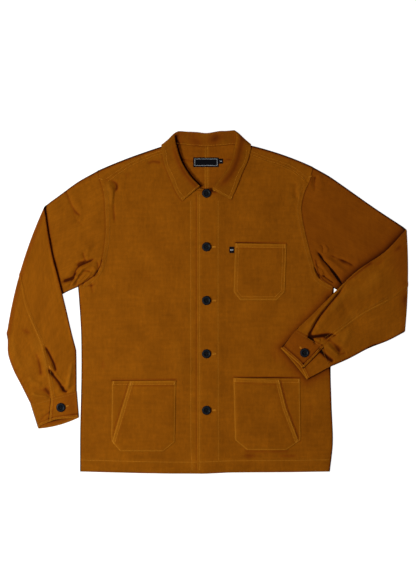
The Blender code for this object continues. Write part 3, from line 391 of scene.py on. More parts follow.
# smaller creases: layer, line, width on its left, width on its right, height (troughs are negative)
creases = (
    # wearer's right shoulder and chest
    ("body", ((-240, 278), (-226, 282), (-213, 277), (-205, 266), (-209, 252)), 5.2, 4.4, -2.4),
    ("body", ((-205, 276), (-211, 248), (-213, 220), (-211, 178)), 3.2, 3.0, -2.1),
    ("body", ((-228, 274), (-217, 255), (-216, 222)), 5, 7, 2.0),
    ("body", ((-204, 276), (-191, 256), (-193, 220)), 8, 9, 0.9),
    ("body", ((-336, 276), (-321, 250), (-309, 222), (-297, 205), (-282, 196)), 4.2, 3.4, -2.2),
    ("body", ((-308, 214), (-298, 190), (-280, 172)), 4, 4, -1.0),
    ("body", ((-302, 250), (-294, 224), (-282, 208)), 6, 10, 1.4),
    ("body", ((-146, 332), (-190, 314), (-232, 296)), 5, 9, 1.0),
    ("body", ((-120, 312), (-160, 300), (-196, 292)), 9, 9, -0.8),
    ("body", ((-260, 262), (-262, 200), (-256, 150)), 18, 14, 1.1),
    ("body", ((-296, 160), (-284, 132), (-262, 120)), 10, 8, 0.8),
    # wearer's right underarm, where the cloth is crushed towards the armhole
    ("body", ((-340, 42), (-322, 50), (-307, 56), (-300, 74), (-291, 84), (-276, 91), (-250, 104)),
     4.8, 3.6, -5.6),
    ("body", ((-330, 52), (-318, 53), (-306, 60)), 4, 4, -2.4),
    ("body", ((-300, 84), (-290, 92), (-278, 94)), 4, 4, -2.6),
    ("body", ((-326, 38), (-314, 44), (-302, 50), (-293, 68), (-282, 80), (-262, 88)), 3.0, 3.4, 2.9),
    ("body", ((-316, 36), (-300, 65), (-286, 79)), 1.7, 1.7, -2.4),
    ("body", ((-312, 34), (-295, 63), (-281, 77)), 1.7, 1.7, 1.6),
    ("body", ((-305, 34), (-291, 60), (-280, 70)), 1.8, 1.7, -2.4),
    ("body", ((-299, 34), (-286, 56), (-274, 66)), 1.7, 1.7, 1.6),
    ("body", ((-286, 70), (-276, 73), (-264, 70)), 2.4, 2.6, -3.2),
    ("body", ((-296, 38), (-284, 48), (-272, 60), (-262, 74)), 2.8, 3.0, 2.0),
    ("body", ((-288, 36), (-276, 52), (-262, 60)), 2.2, 2.2, -2.2),
    ("body", ((-304, 62), (-296, 58), (-292, 50)), 2.2, 2.4, 1.8),
    ("body", ((-276, 92), (-281, 104), (-284, 118)), 2.6, 2.8, -2.6),
    ("body", ((-272, 100), (-274, 112), (-270, 126)), 3.0, 4.0, 1.4),
    ("body", ((-252, 98), (-249, 82), (-252, 66), (-262, 56)), 2.6, 2.6, -2.6),
    ("body", ((-262, 84), (-256, 74), (-262, 66), (-272, 66)), 2.6, 2.6, 2.2),
    ("body", ((-245, 110), (-240, 90), (-245, 66)), 6, 5, 1.5),
    ("body", ((-267, 50), (-264, 36), (-261, 18)), 4, 3, -1.5),
    ("body", ((-276, 38), (-262, 40), (-250, 47)), 2.4, 3, -1.4),
    ("body", ((-300, 104), (-286, 116), (-264, 128)), 8, 7, 1.2),
    # wearer's left shoulder and chest
    ("body", ((207, 278), (204, 260), (205, 238)), 3.5, 8, -1.9),
    ("body", ((216, 276), (213, 258), (213, 236)), 4, 4, 1.0),
    ("body", ((194, 272), (191, 248), (196, 222)), 9, 9, 1.0),
    ("body", ((250, 294), (248, 274), (250, 254)), 5, 5, -2.2),
    ("body", ((262, 300), (263, 276), (257, 252)), 6, 8, 1.6),
    ("body", ((238, 300), (239, 286), (236, 268)), 4, 4, 1.5),
    ("body", ((140, 344), (184, 330), (226, 308)), 8, 6, 0.9),
    ("body", ((-138, 319), (-122, 324), (-102, 321)), 4, 5, -1.5),
    ("body", ((230, 250), (250, 190), (256, 140)), 20, 26, 1.6),
    # wearer's left underarm
    ("body", ((250, 124), (267, 99), (280, 84), (292, 69), (303, 54), (314, 38)), 3.2, 3.0, -4.6),
    ("body", ((282, 80), (293, 67), (304, 52), (316, 34)), 3.0, 2.8, -3.0),
    ("body", ((256, 115), (268, 110), (282, 109), (306, 100), (326, 92), (346, 78)), 4, 7, -2.4),
    ("body", ((268, 106), (286, 94), (304, 80), (322, 66)), 5, 5, 2.0),
    ("body", ((262, 134), (268, 124), (267, 112)), 2.4, 2.4, -2.0),
    ("body", ((270, 132), (277, 124), (276, 114)), 2.4, 3.0, 1.5),
    ("body", ((247, 84), (254, 68), (263, 52)), 2.2, 2.2, -2.6),
    ("body", ((254, 84), (262, 72), (272, 62)), 2.2, 2.4, 2.2),
    ("body", ((256, 104), (266, 84), (282, 62), (296, 48)), 4, 4, 2.0),
    ("body", ((252, 92), (260, 76), (274, 58)), 2.6, 2.6, -2.0),
    ("body", ((254, 66), (266, 62), (284, 50), (296, 42)), 2.6, 2.6, -2.2),
    ("body", ((258, 80), (266, 70), (262, 60)), 2.4, 2.4, 1.8),
    ("body", ((290, 110), (330, 100), (356, 96)), 8, 9, 1.5),
    # fronts
    ("body", ((-196, -8), (-140, -14), (-88, -10)), 9, 7, -0.8),
    ("body", ((-276, -60), (-252, -40), (-238, -10)), 8, 10, -0.9),
    ("body", ((-270, -330), (-240, -318), (-212, -326)), 12, 9, -1.0),
    ("body", ((-262, -100), (-240, -130), (-238, -160)), 12, 12, -1.0),
    ("body", ((-282, -140), (-260, -128), (-240, -140)), 10, 10, 0.9),
    ("body", ((118, -70), (150, -112), (170, -156)), 14, 12, -0.8),
    ("body", ((98, -60), (124, -110), (150, -150)), 14, 12, 0.7),
    ("body", ((70, -350), (150, -353), (230, -351)), 5, 6, -1.1),
    ("body", ((60, 20), (110, 12), (160, 18)), 7, 9, -1.0),
    ("body", ((190, 20), (206, -20), (214, -60)), 12, 12, 0.8),
    ("body", ((226, -130), (240, -160), (262, -180)), 10, 8, -1.0),
    ("body", ((-70, -60), (-58, -150), (-64, -230)), 12, 14, 0.8),
    ("body", ((236, -200), (240, -260), (232, -330)), 7, 10, -1.1),
    # wearer's right forearm, gathered towards the cuff and the vent
    ("forearm", ((-374, -96), (-361, -120), (-351, -142), (-345, -166)), 3.8, 3.0, -4.6),
    ("forearm", ((-370, -154), (-361, -157), (-349, -170), (-338, -184), (-330, -198), (-320, -210)),
     5.2, 4.8, -5.2),
    ("forearm", ((-366, -152), (-360, -158), (-352, -168)), 5, 4, -3.0),
    ("forearm", ((-336, -190), (-329, -200), (-322, -204), (-318, -196)), 4, 4, -3.4),
    ("forearm", ((-362, -140), (-352, -156), (-338, -176), (-326, -190)), 4.0, 4.0, 2.6),
    ("forearm", ((-330, -204), (-320, -196), (-314, -170), (-308, -136)), 4.0, 4.0, 2.6),
    ("forearm", ((-316, -204), (-306, -190), (-304, -160)), 5, 5, -1.6),
    ("forearm", ((-415, -42), (-404, -98), (-385, -157)), 8, 8, -0.7),
    ("forearm", ((-394, -110), (-384, -140), (-380, -172)), 7, 6, -2.2),
    ("forearm", ((-380, -110), (-372, -140), (-366, -170)), 5, 5, 1.6),
    ("forearm", ((-426, -172), (-414, -186), (-400, -196)), 9, 8, -1.3),
    ("forearm", ((-432, -196), (-416, -203), (-398, -211)), 8, 7, -1.3),
    ("forearm", ((-402, -190), (-386, -200), (-372, -203), (-356, -214)), 9, 7, -1.3),
    ("forearm", ((-374, -194), (-364, -206), (-358, -222)), 6, 4, -1.2),
    ("forearm", ((-350, -245), (-366, -256), (-386, -273)), 3.4, 3.4, -1.5),
    ("forearm", ((-404, -206), (-388, -214), (-370, -216), (-360, -222)), 3.0, 3.0, 2.2),
    ("forearm", ((-410, -170), (-396, -184), (-378, -192)), 6, 5, 2.0),
    ("forearm", ((-344, -208), (-336, -200), (-330, -186)), 4, 4, 1.4),
    ("forearm", ((-440, 30), (-410, 46), (-388, 40)), 10, 8, -1.0),
    ("forearm", ((-434, -56), (-404, -70), (-386, -60)), 10, 8, -1.1),
    ("forearm", ((-446, -60), (-440, -110), (-424, -160)), 7, 12, 1.5),
    ("forearm", ((-366, 150), (-352, 90), (-338, 20), (-318, -50), (-306, -100)), 9, 3, 0.8),
    # wearer's left forearm, its edge turned under itself above the elbow's crumples
    ("forearm", ((322, 46), (309, 29), (298, 15), (286, 1), (274, -13), (263, -26), (253, -42), (242, -62),
                 (236, -75), (246, -88), (253, -108)), 3.4, 2.8, -5.6),
    ("forearm", ((324, 52), (294, 17), (269, -13), (246, -42), (228, -66)), 4, 4, 2.0),
    ("forearm", ((316, 42), (332, 56), (350, 70), (368, 84), (386, 96)), 4, 5, -1.8),
    ("forearm", ((334, 40), (310, 10), (284, -24)), 8, 7, 1.2),
    ("forearm", ((452, 140), (428, 112), (404, 96), (380, 76)), 9, 9, -1.3),
    ("forearm", ((228, -80), (244, -79), (264, -76), (284, -75), (304, -74)), 4.0, 3.8, -6.4),
    ("forearm", ((240, -84), (250, -85), (262, -88)), 3.4, 3.4, 2.8),
    ("forearm", ((266, -82), (284, -88), (297, -100), (308, -118)), 9, 8, -3.0),
    ("forearm", ((256, -100), (263, -112), (277, -126), (294, -138)), 5.2, 4.6, -4.2),
    ("forearm", ((272, -94), (290, -110), (306, -124)), 5, 5, 2.2),
    ("forearm", ((300, -116), (310, -118), (322, -114)), 4, 4, -1.8),
    ("forearm", ((330, -60), (318, -84), (310, -104)), 7, 6, 1.6),
    ("forearm", ((404, 66), (360, 42), (322, 8)), 14, 12, 1.4),
    ("forearm", ((462, 170), (461, 52), (458, -64)), 5, 12, -0.8),
    ("forearm", ((352, -12), (330, -30), (312, -52)), 8, 8, 0.8),
    ("forearm", ((400, -92), (360, -108), (320, -124)), 6, 9, -1.2),
)
creaseLines = [through(row[1], 5) for row in creases]


def elbowFold(name):
    row = next(row for row in sleeveRows[name] if row[0] == "fold")
    return Fold(row[1:3], row[3:5], elbowBow[name], sides[name]["sign"], layers["sleeveFoldZ"],
                layers["sleeveFoldZ"] - layers["bodyFoldZ"])


def shoulderFold(name):
    side = sides[name]
    return Fold(side["shoulderNeck"], side["shoulderEnd"], side["bow"], side["sign"], layers["bodyFoldZ"],
                layers["bodyFoldZ"] - layers["backZ"])


def rowsOutline(name, kinds):
    rows = [row for row in sleeveRows[name] if row[0] in kinds]
    return np.array([row[1:3] for row in rows] + [row[3:5] for row in reversed(rows)])


forearms = {name: rowsOutline(name, ("fold", "forearm", "cuff")) for name in sides}


def collarLift(points):
    # the body is raised where the collar lies under it
    under = [(row[6], row[7]) for row in collarRows if row[8] <= 0.5]
    under += [(row[3], row[4]) for row in reversed(collarRows) if row[8] <= 0.5]
    return 3.1 * (1 - smooth(outsideDistance(points, np.array(under, float)) / 48.0))


def relief(points, layer):
    total = np.zeros(len(points))
    for kind, start, end, width, height in mainFolds:
        if kind == layer:
            near, away, _ = nearLine(points, (start, end), width * 3)
            total[near] += 0.4 * height * bell(away, width)
    for (kind, _, leftWidth, rightWidth, height), line in zip(creases, creaseLines):
        if kind == layer:
            near, away, along = nearLine(points, line, max(leftWidth, rightWidth) * 3)
            share = along / lengthsOf(line)[-1]
            fade = smooth(share / 0.18) * smooth((1 - share) / 0.18)
            across = np.abs(away) / np.where(away > 0, leftWidth, rightWidth)
            total[near] += height * fade * np.exp(-across ** (2 if height > 0 else 1.5))
    return total


def creased(points, layer):
    # where the folds are too sharp for the usual spacing of points
    found = np.zeros(len(points), bool)
    for (kind, _, leftWidth, rightWidth, _), line in zip(creases, creaseLines):
        if kind == layer and min(leftWidth, rightWidth) < 6:
            near, away, _ = nearLine(points, line, 9)
            found[near[np.abs(away) < 1.8 * max(leftWidth, rightWidth)]] = True
    return found


def foldShadeAndHighlight(height):
    # painted shade in the troughs of the folds and a painted highlight on their ridges
    depth = np.maximum(-height - 0.7, 0)
    return 0.16 * np.clip(height - 0.6, 0, 2) - 0.95 * (1 - np.exp(-(depth / 1.25) ** 1.3))


def settled(height, depth=2.3):
    # troughs stop on the layer below
    return np.where(height < 0, -depth * np.tanh(-height / depth), height)


def bodyRelief(points):
    # folds of the fronts and upper arms, flattened where a forearm lies on them
    total = relief(points, "body") + waviness(points, 3, 95, 0.45) + waviness(points, 8, 30, 0.12)
    total = settled(total)
    for outline in forearms.values():
        away = outsideDistance(points, outline)
        total *= np.where(total > 0, smooth((away - 1) / 9), smooth((away + 5) / 4))
    return total


def sideLine(name):
    side = sides[name]
    return through([side["armhole"][-1], *side["side"], (side["hemX"], centre["hemY"])], 8)


def armholeCurve(name):
    return through(sides[name]["armhole"], 12)


def neckline():
    return through([row[:2] for row in collarRows], 8)


def neckPoints(name, part):
    line = neckline()
    middle = (len(line) - 1) // 2
    first, last = (row * 8 for row in collarShoulders)
    if name == "right":
        return line[: first + 1] if part == "front" else line[first: middle + 1]
    return line[last:][::-1] if part == "front" else line[middle: last + 1][::-1]


shoulderShare = 0.131  # how far down the armhole the shoulder seam ends


def shoulderSeam(name):
    seam = [neckPoints(name, "front")[-1], *sides[name]["seam"],
            atShares(armholeCurve(name), [shoulderShare])[0]]
    return through(seam, 8)


# seams and topstitching of the body, as lines in the plan

seams = {
    "rows": (2.2, 8.6),  # the two rows of stitches beside a felled seam
    "hemBand": 27.0,
    "grooveDepth": 0.32,
    "grooveWidth": 1.5,
    "bandRise": 0.7,  # two more layers of cloth inside a felled seam or hem
    "puckerHeight": 0.16,
    "puckerSpacing": 9.5,
}


def hemLine(fromX, toX, count=9, above=0.0):
    # along the hem, which hangs a little lower at the centre front
    xs = np.linspace(fromX, toX, count)
    return np.column_stack([xs, centre["hemY"] - np.interp(xs, *centre["hemDrop"]) + above])


def frontEdges(name):
    sign = sides[name]["sign"]
    curve = armholeCurve(name)
    arm = atShares(curve, np.linspace(shoulderShare, 1, 70))
    return {"arm": arm, "side": sideLine(name), "neck": neckPoints(name, "front"),
            "seam": shoulderSeam(name),
            "centreX": -sign * centre["overlap"], "sign": sign}


def frontStitches(name):
    edges = frontEdges(name)
    sign, hemY = edges["sign"], centre["hemY"]
    insideSide = edges["side"][-1][0] - sign * 3
    lines = []
    for row in seams["rows"]:
        lines.append(offsetLine(edges["arm"], -row * sign)[2:-1])
        lines.append(offsetLine(edges["seam"], row * sign)[2:-2])
    if name == "left":
        lines.append(hemLine(insideSide, -15, 14, 27.0))
        lines.append(np.array(((-15.9, hemY + 6), (-15.9, 0), (-15.9, 246))))
        lines.append(np.array(((27.5, hemY + 27), (26.5, 0), (27, 232))))
    else:
        lines.append(hemLine(insideSide, -24, 14, 26.5))
        lines.append(np.array(((-33, hemY + 6), (-36, hemY + 60), (-36.3, 0), (-36.3, 232))))
    return [evenly(line, 4.0) for line in lines]


def bandShare(points, line, low, high):
    # 1 in the band between two distances to the left of a line
    near, away, _ = nearLine(points, line, high + 6)
    total = np.zeros(len(points))
    total[near] = smooth((away - low + 1) / 2) * (1 - smooth((away - high + 1) / 2))
    return total


def frontDetail(points, name):
    edges = frontEdges(name)
    sign, hemY, bandEnd = edges["sign"], centre["hemY"], seams["rows"][1] + 0.6
    armBand = bandShare(points, edges["arm"][::-sign], -0.5, bandEnd)
    seamBand = bandShare(points, edges["seam"][::sign], -0.5, bandEnd)
    aboveHem = points[:, 1] - hemY + np.interp(points[:, 0], *centre["hemDrop"])
    hemBand = 1 - smooth((aboveHem - seams["hemBand"]) / 2.5)
    total = seams["bandRise"] * np.maximum(np.maximum(armBand, seamBand), hemBand)
    centreBand = 1 - smooth((sign * points[:, 0] - 27.5) / 2.5)
    total += 0.45 * centreBand * (points[:, 1] > hemY + 10)
    for k, line in enumerate(frontStitches(name)):
        near, away, along = nearLine(points, line, 14)
        depth = seams["grooveDepth"] * (0.5 if k in (0, 2) else 1)  # both are the armhole's rows
        total[near] -= depth * bell(away, seams["grooveWidth"])
        ripple = np.sin(along * math.tau / seams["puckerSpacing"] + 2.2 * np.sin(along / 23 + k))
        ripple *= 0.55 + 0.45 * np.sin(along / 37 + 2 * k)
        total[near] += seams["puckerHeight"] * ripple * bell(away, 6)
    return total


# painted shadow lines beside what lies on the fronts: line, how far it spreads, strength
shadowLines = {
    "left": (
        (((66, 137), (184, 135.2)), 1.7, 0.75),
        (((61.5, -171.3), (214.5, -173.8)), 1.9, 0.8),
        (((92, -341), (184, -341)), 4.0, 0.3),
        (((169, -178), (184.5, -240), (214, -318)), 2.0, 0.6),
        (((-17, 263), (19, 255)), 6.0, 0.6),
        (((250, 98), (256, 70), (268, 52), (290, 38)), 1.8, 0.4),
    ),
    "right": (
        (((-217, -178.8), (-70, -177.8)), 1.9, 0.8),
        (((-178.5, -182), (-220, -318)), 1.6, 0.4),
        (((-22, -386), (-22, 250)), 1.8, 0.4),
        (((-240, 98), (-243, 84), (-259, 61), (-275, 50), (-294, 39)), 1.7, 0.7),
    ),
}


def leftRoll(inwards):
    # the collar's roll on the wearer's right, moved towards the neck opening
    return offsetLine(through([(row[3], row[4]) for row in collarRows[:6]], 6), -inwards)


def contactShade(points, name):
    # painted shade beside a forearm, the collar's fall and roll, and along the painted shadow lines
    total = np.zeros(len(points))
    for line, reach, strength in shadowLines[name]:
        total = np.maximum(total, strength * bell(lineDistance(points, line), reach))
    for key, reach, strength in (("right", 2.8, 0.95), ("left", 12.0, 0.55)):
        away = np.maximum(outsideDistance(points, forearms[key]), 0)
        total = np.maximum(total, strength * np.exp(-(away / reach) ** 1.4))
    fall = [(row[6], row[7]) for row in collarRows]
    roll = leftRoll(2.0)
    total = np.maximum(total, 0.5 * bell(lineDistance(points, fall), 2.6))
    return -np.maximum(total, np.exp(-(lineDistance(points, roll) / 3.4) ** 4))


def frontBase(points, name):
    side = sides[name]
    edge = np.vstack([sideLine(name), hemLine(side["hemX"], -side["sign"] * centre["overlap"])[1:]])
    rounded = quarterRound(lineDistance(points, edge) / layers["edgeRound"])
    drop = (layers["frontZ"] - layers["sideZ"]) * (1 - rounded)
    z = layers["frontZ"] - drop + collarLift(points) + bodyRelief(points)
    if name == "left":
        z += centre["rise"] * smooth((centre["overlap"] + centre["ramp"] - points[:, 0]) / centre["ramp"])
    return z


def frontHeight(points, name):
    return frontBase(points, name) + frontDetail(points, name)


def inNeckRelief(points):
    # the back's inside, seen through the neck opening
    uneven = waviness(points, 13, 40, 0.4) + waviness(points, 14, 90, 0.5)
    return 0.25 * uneven * smooth((points[:, 1] - 180) / 60)


def backHeight(points):
    return np.full(len(points), layers["backZ"]) + collarLift(points) + inNeckRelief(points)


# building cloth

def filled(outline, step, extra=(), fine=None):
    # points and triangles that fill an outline, denser along its edge, on extra lines and where fine() says
    outline = np.asarray(outline, float)
    low, high = outline.min(axis=0), outline.max(axis=0)
    extra = np.vstack([np.asarray(extra, float).reshape(-1, 2), inset(outline, cloth["edgeRow"])])
    extra = extra[outsideDistance(extra, outline) < -0.6 * cloth["edgeRow"]]
    rows, columns = np.meshgrid(np.arange((high[1] - low[1]) / step * 2),
                                np.arange((high[0] - low[0]) / step * 2))
    rows, columns = rows.ravel(), columns.ravel()
    inner = low + (np.column_stack([columns + 0.5 * (rows % 4 > 1), rows]) + 0.3) * step / 2
    kept = (rows % 2 == 0) & (columns % 2 == 0)
    if fine:
        kept |= fine(inner)
    inner = inner[kept]
    inner = clearOf(inner[insideOf(inner, outline)], np.vstack([outline, extra]), 0.3 * step)
    points = np.vstack([outline, extra, inner])
    found = delaunay_2d_cdt([tuple(p) for p in points], [], [list(range(len(outline)))], 1, 1e-3)
    return np.array([tuple(v) for v in found[0]]), found[2]


def subdivided(outline, step):
    corners = np.asarray(outline, float)
    closed = np.vstack([corners, corners[:1]])
    return np.array([a + (b - a) * k / n for a, b in zip(closed, closed[1:])
                     for n in [max(1, round(np.linalg.norm(b - a) / step))] for k in range(n)])


def grooveRows(lines):
    # rows of mesh points on both sides of each stitched line
    rows = []
    for line in lines:
        rows += [offsetLine(line, away) for away in (-1.7, 0.0, 1.7)]
    return np.vstack(rows) if rows else np.empty((0, 2))


def vertexNormals(points, faces):
    normals = np.zeros_like(points)
    for size in (3, 4):
        group = np.array([face for face in faces if len(face) == size], int)
        if len(group):
            corners = points[group]
            if size == 3:
                across = np.cross(corners[:, 1] - corners[:, 0], corners[:, 2] - corners[:, 0])
            else:
                across = np.cross(corners[:, 2] - corners[:, 0], corners[:, 3] - corners[:, 1])
            for k in range(size):
                np.add.at(normals, group[:, k], across)
    return normals / np.maximum(np.linalg.norm(normals, axis=1), 1e-12)[:, None]


def walled(points, faces, uv, wearAndShade, thickness):
    # two layers of the surface with a half-round edge between them
    normals = vertexNormals(points, faces)
    half = thickness / 2
    count = len(points)
    allPoints = [points + normals * half, points - normals * half]
    allFaces = [tuple(face) for face in faces] + [tuple(v + count for v in reversed(face)) for face in faces]
    directed = {(a, b) for face in faces for a, b in zip(face, (*face[1:], face[0]))}
    border = [(a, b) for a, b in directed if (b, a) not in directed]
    outward = np.zeros_like(points)
    for a, b in border:
        run = points[b] - points[a]
        run = run / max(np.linalg.norm(run), 1e-9)
        outward[a] += np.cross(run, normals[a])
        outward[b] += np.cross(run, normals[b])
    rim = sorted({v for edge in border for v in edge})
    place = {v: k for k, v in enumerate(rim)}
    out = outward[rim]
    out /= np.maximum(np.linalg.norm(out, axis=1), 1e-9)[:, None]
    rings = [np.array(rim)]
    for step, angle in enumerate((math.radians(45), 0.0, -math.radians(45))):
        allPoints.append(points[rim] + out * half * math.cos(angle) + normals[rim] * half * math.sin(angle))
        rings.append(2 * count + step * len(rim) + np.arange(len(rim)))
    rings.append(np.array(rim) + count)
    for a, b in border:
        for upper, lower in zip(rings, rings[1:]):
            allFaces.append((int(upper[place[b]]), int(upper[place[a]]), int(lower[place[a]]),
                             int(lower[place[b]])))
    sources = np.concatenate([np.arange(count), np.arange(count), np.tile(rim, 3)])
    return np.vstack(allPoints), allFaces, uv[sources], wearAndShade[sources]


def clothPiece(name, nodeName, points, faces, uv, wearAndShade, thickness, material=None, slotName="cotton_twill"):
    points, faces, uv, wearAndShade = walled(np.asarray(points, float), faces, uv, wearAndShade, thickness)
    return finishPiece(meshObject(name, points, faces, material or twill, uv, wearAndShade), slotName, nodeName)


def addObject(name, data):
    made = bpy.data.objects.new(name, data)
    bpy.context.scene.collection.objects.link(made)
    return made


def meshObject(name, points, faces, material, uv=None, wearAndShade=None):
    mesh = bpy.data.meshes.new(name)
    mesh.from_pydata((np.asarray(points) * mm).tolist(), [], [tuple(int(v) for v in face) for face in faces])
    mesh.materials.append(material)
    if uv is not None:
        corner = np.zeros(len(mesh.loops), np.int32)
        mesh.loops.foreach_get("vertex_index", corner)
        layer = mesh.uv_layers.new(name="cloth")
        layer.data.foreach_set("uv", (uv[corner] * mm).astype(np.float32).ravel())
        # per point: above 0 paler, rubbed or painted highlight; below 0 painted shade
        attribute = mesh.attributes.new("wearAndShade", "FLOAT", "POINT")
        attribute.data.foreach_set("value", np.asarray(wearAndShade, np.float32))
    mesh.shade_smooth()
    mesh.update()
    return addObject(name, mesh)


def finishPiece(piece, slotName, *nodes):
    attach(piece, "root")
    if nodes:
        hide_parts(*nodes)
    return piece


# materials

def linear(hexColour):
    # sRGB hex to linear
    shares = [int(hexColour[k:k + 2], 16) / 255 for k in (1, 3, 5)]
    return (*[c / 12.92 if c <= 0.04045 else ((c + 0.055) / 1.055) ** 2.4 for c in shares], 1.0)


def addNode(tree, kind, inputs=None, stops=(), **settings):
    node = tree.nodes.new(kind)
    for name, value in settings.items():
        setattr(node, name, value)
    for k, (position, colour) in enumerate(stops):
        node.color_ramp.elements[k].position, node.color_ramp.elements[k].color = position, colour
    for socket, value in (inputs or {}).items():
        if isinstance(value, bpy.types.NodeSocket):
            tree.links.new(value, node.inputs[socket])
        else:
            node.inputs[socket].default_value = value
    return node


def newMaterial(name, colour, roughness):
    material = bpy.data.materials.new(name)
    material.use_nodes = True
    shader = material.node_tree.nodes["Principled BSDF"]
    shader.inputs["Base Color"].default_value = linear(colour)
    shader.inputs["Roughness"].default_value = roughness
    material.diffuse_color = linear(colour)
    return material, material.node_tree, shader


twillLook = {
    "base": "#7F4606",  # tan-brown garment-washed cotton
    "dark": "#774105",
    "light": "#864B07",
    "paleWearAndHighlight": "#A56A16",  # edges and seams rubbed paler, and painted highlight on fold ridges and raised bands
    "shade": "#6C2904",  # painted shade in folds, at edges and beside what lies on the cloth, redder, then near black
    "deep": "#160601",
    "twillSpacing": 1.7,  # mm between diagonals; real heavy twill has 1.0, too fine to show
    "twillAngle": 63.0,
    "yarn": 0.7,
    "streak": (5.5, 42.0),  # mm, width and length of the paler runs that slubby yarns make
    "roughness": 0.9,
}


def cottonTwill(name, turn=0.0, fade=1.0):
    # heavy cotton twill, piece-dyed and washed: matt, with fine diagonals and a soft bloom at grazing angles
    look = twillLook
    material, tree, shader = newMaterial(name, look["base"], look["roughness"])
    shader.inputs["Sheen Weight"].default_value = 0.02
    shader.inputs["Sheen Roughness"].default_value = 0.5
    shader.inputs["Sheen Tint"].default_value = linear("#C07A20")
    shader.inputs["Specular IOR Level"].default_value = 0.03
    place = addNode(tree, "ShaderNodeUVMap", uv_map="cloth")
    inMm = addNode(tree, "ShaderNodeMapping", {"Vector": place.outputs["UV"], "Scale": (1000, 1000, 1000)})
    turned = addNode(tree, "ShaderNodeMapping", {
        "Vector": inMm.outputs["Vector"], "Rotation": (0, 0, math.radians(look["twillAngle"] + turn))})
    diagonal = addNode(tree, "ShaderNodeTexWave", {
        "Vector": turned.outputs["Vector"], "Scale": 0.314 / look["twillSpacing"], "Distortion": 0.6,
        "Detail": 1.0, "Detail Scale": 1.5}, wave_type="BANDS", bands_direction="Y")
    slubs = addNode(tree, "ShaderNodeMapping", {
        "Vector": inMm.outputs["Vector"], "Rotation": (0, 0, math.radians(turn)),
        "Scale": (1.0 / look["yarn"], 0.09, 1)})
    yarn = addNode(tree, "ShaderNodeTexNoise", {
        "Vector": slubs.outputs["Vector"], "Scale": 1.0, "Detail": 3.0, "Roughness": 0.6})
    shades = []
    width, length = look["streak"]
    for size in ((1 / width, 1 / length, 1), (0.6 / length, 0.8 / width, 1), (0.12, 0.12, 1)):
        runs = addNode(tree, "ShaderNodeMapping", {"Vector": inMm.outputs["Vector"], "Scale": size})
        noise = addNode(tree, "ShaderNodeTexNoise", {
            "Vector": runs.outputs["Vector"], "Scale": 1.0, "Detail": 3.0})
        shades.append(addNode(tree, "ShaderNodeMapRange", {
            "Value": noise.outputs["Fac"], "From Min": 0.3, "From Max": 0.7,
            "To Min": 0.94, "To Max": 1.06}))
    shades.append(addNode(tree, "ShaderNodeMapRange", {
        "Value": yarn.outputs["Fac"], "From Min": 0.3, "From Max": 0.7, "To Min": 0.9, "To Max": 1.1}))
    shade = addNode(tree, "ShaderNodeMath", {0: shades[0].outputs[0], 1: fade}, operation="MULTIPLY")
    for other in shades[1:]:
        shade = addNode(tree, "ShaderNodeMath", {
            0: shade.outputs[0], 1: other.outputs[0]}, operation="MULTIPLY")
    patchy = addNode(tree, "ShaderNodeTexNoise", {
        "Vector": inMm.outputs["Vector"], "Scale": 0.016, "Detail": 5.0, "Roughness": 0.62})
    tone = addNode(tree, "ShaderNodeValToRGB", {"Fac": patchy.outputs["Fac"]}, (
        (0.3, linear(look["dark"])), (0.7, linear(look["light"]))))
    coloured = addNode(tree, "ShaderNodeVectorMath", {
        0: tone.outputs["Color"], "Scale": shade.outputs[0]}, operation="SCALE")
    # the attribute: above 0 rubbed paler and painted highlight, below 0 painted shade of folds, edges and of
    # what lies on the cloth
    wearAndShade = addNode(tree, "ShaderNodeAttribute", attribute_name="wearAndShade")
    rubbed = addNode(tree, "ShaderNodeMath", {
        0: wearAndShade.outputs["Fac"], 1: yarn.outputs["Fac"]}, operation="MULTIPLY", use_clamp=True)
    folded = addNode(tree, "ShaderNodeMath", {
        0: wearAndShade.outputs["Fac"], 1: -1.0}, operation="MULTIPLY", use_clamp=True)
    paleWearAndHighlight = addNode(tree, "ShaderNodeMix", {
        0: rubbed.outputs[0], 6: coloured.outputs[0], 7: linear(look["paleWearAndHighlight"])}, data_type="RGBA")
    depth = addNode(tree, "ShaderNodeValToRGB", {"Fac": folded.outputs[0]}, (
        (0.25, linear(look["shade"])), (0.82, linear(look["deep"]))))
    reach = addNode(tree, "ShaderNodeMath", {
        0: folded.outputs[0], 1: 1.5}, operation="MULTIPLY", use_clamp=True)
    deep = addNode(tree, "ShaderNodeMix", {
        0: reach.outputs[0], 6: paleWearAndHighlight.outputs[2], 7: depth.outputs["Color"]}, data_type="RGBA")
    tree.links.new(deep.outputs[2], shader.inputs["Base Color"])
    height = addNode(tree, "ShaderNodeMath", {
        0: diagonal.outputs["Fac"], 1: yarn.outputs["Fac"]}, operation="ADD")
    bump = addNode(tree, "ShaderNodeBump", {
        "Height": height.outputs[0], "Strength": 0.35, "Distance": 0.0003})
    tree.links.new(bump.outputs["Normal"], shader.inputs["Normal"])
    return material


def spunThread(name, colour):
    # spun polyester topstitching thread: a twisted strand, a little brighter than the cloth it sinks into
    material, tree, shader = newMaterial(name, colour, 0.7)
    shader.inputs["Specular IOR Level"].default_value = 0.1
    place = addNode(tree, "ShaderNodeTexCoord")
    twist = addNode(tree, "ShaderNodeTexNoise", {
        "Vector": place.outputs["Object"], "Scale": 900.0, "Detail": 2.0})
    tones = [(position, (*[min(1, c * share) for c in linear(colour)[:3]], 1))
             for position, share in ((0.3, 0.75), (0.7, 1.15))]
    tone = addNode(tree, "ShaderNodeValToRGB", {"Fac": twist.outputs["Fac"]}, tones)
    tree.links.new(tone.outputs["Color"], shader.inputs["Base Color"])
    bump = addNode(tree, "ShaderNodeBump", {
        "Height": twist.outputs["Fac"], "Strength": 0.4, "Distance": 0.0001})
    tree.links.new(bump.outputs["Normal"], shader.inputs["Normal"])
    return material


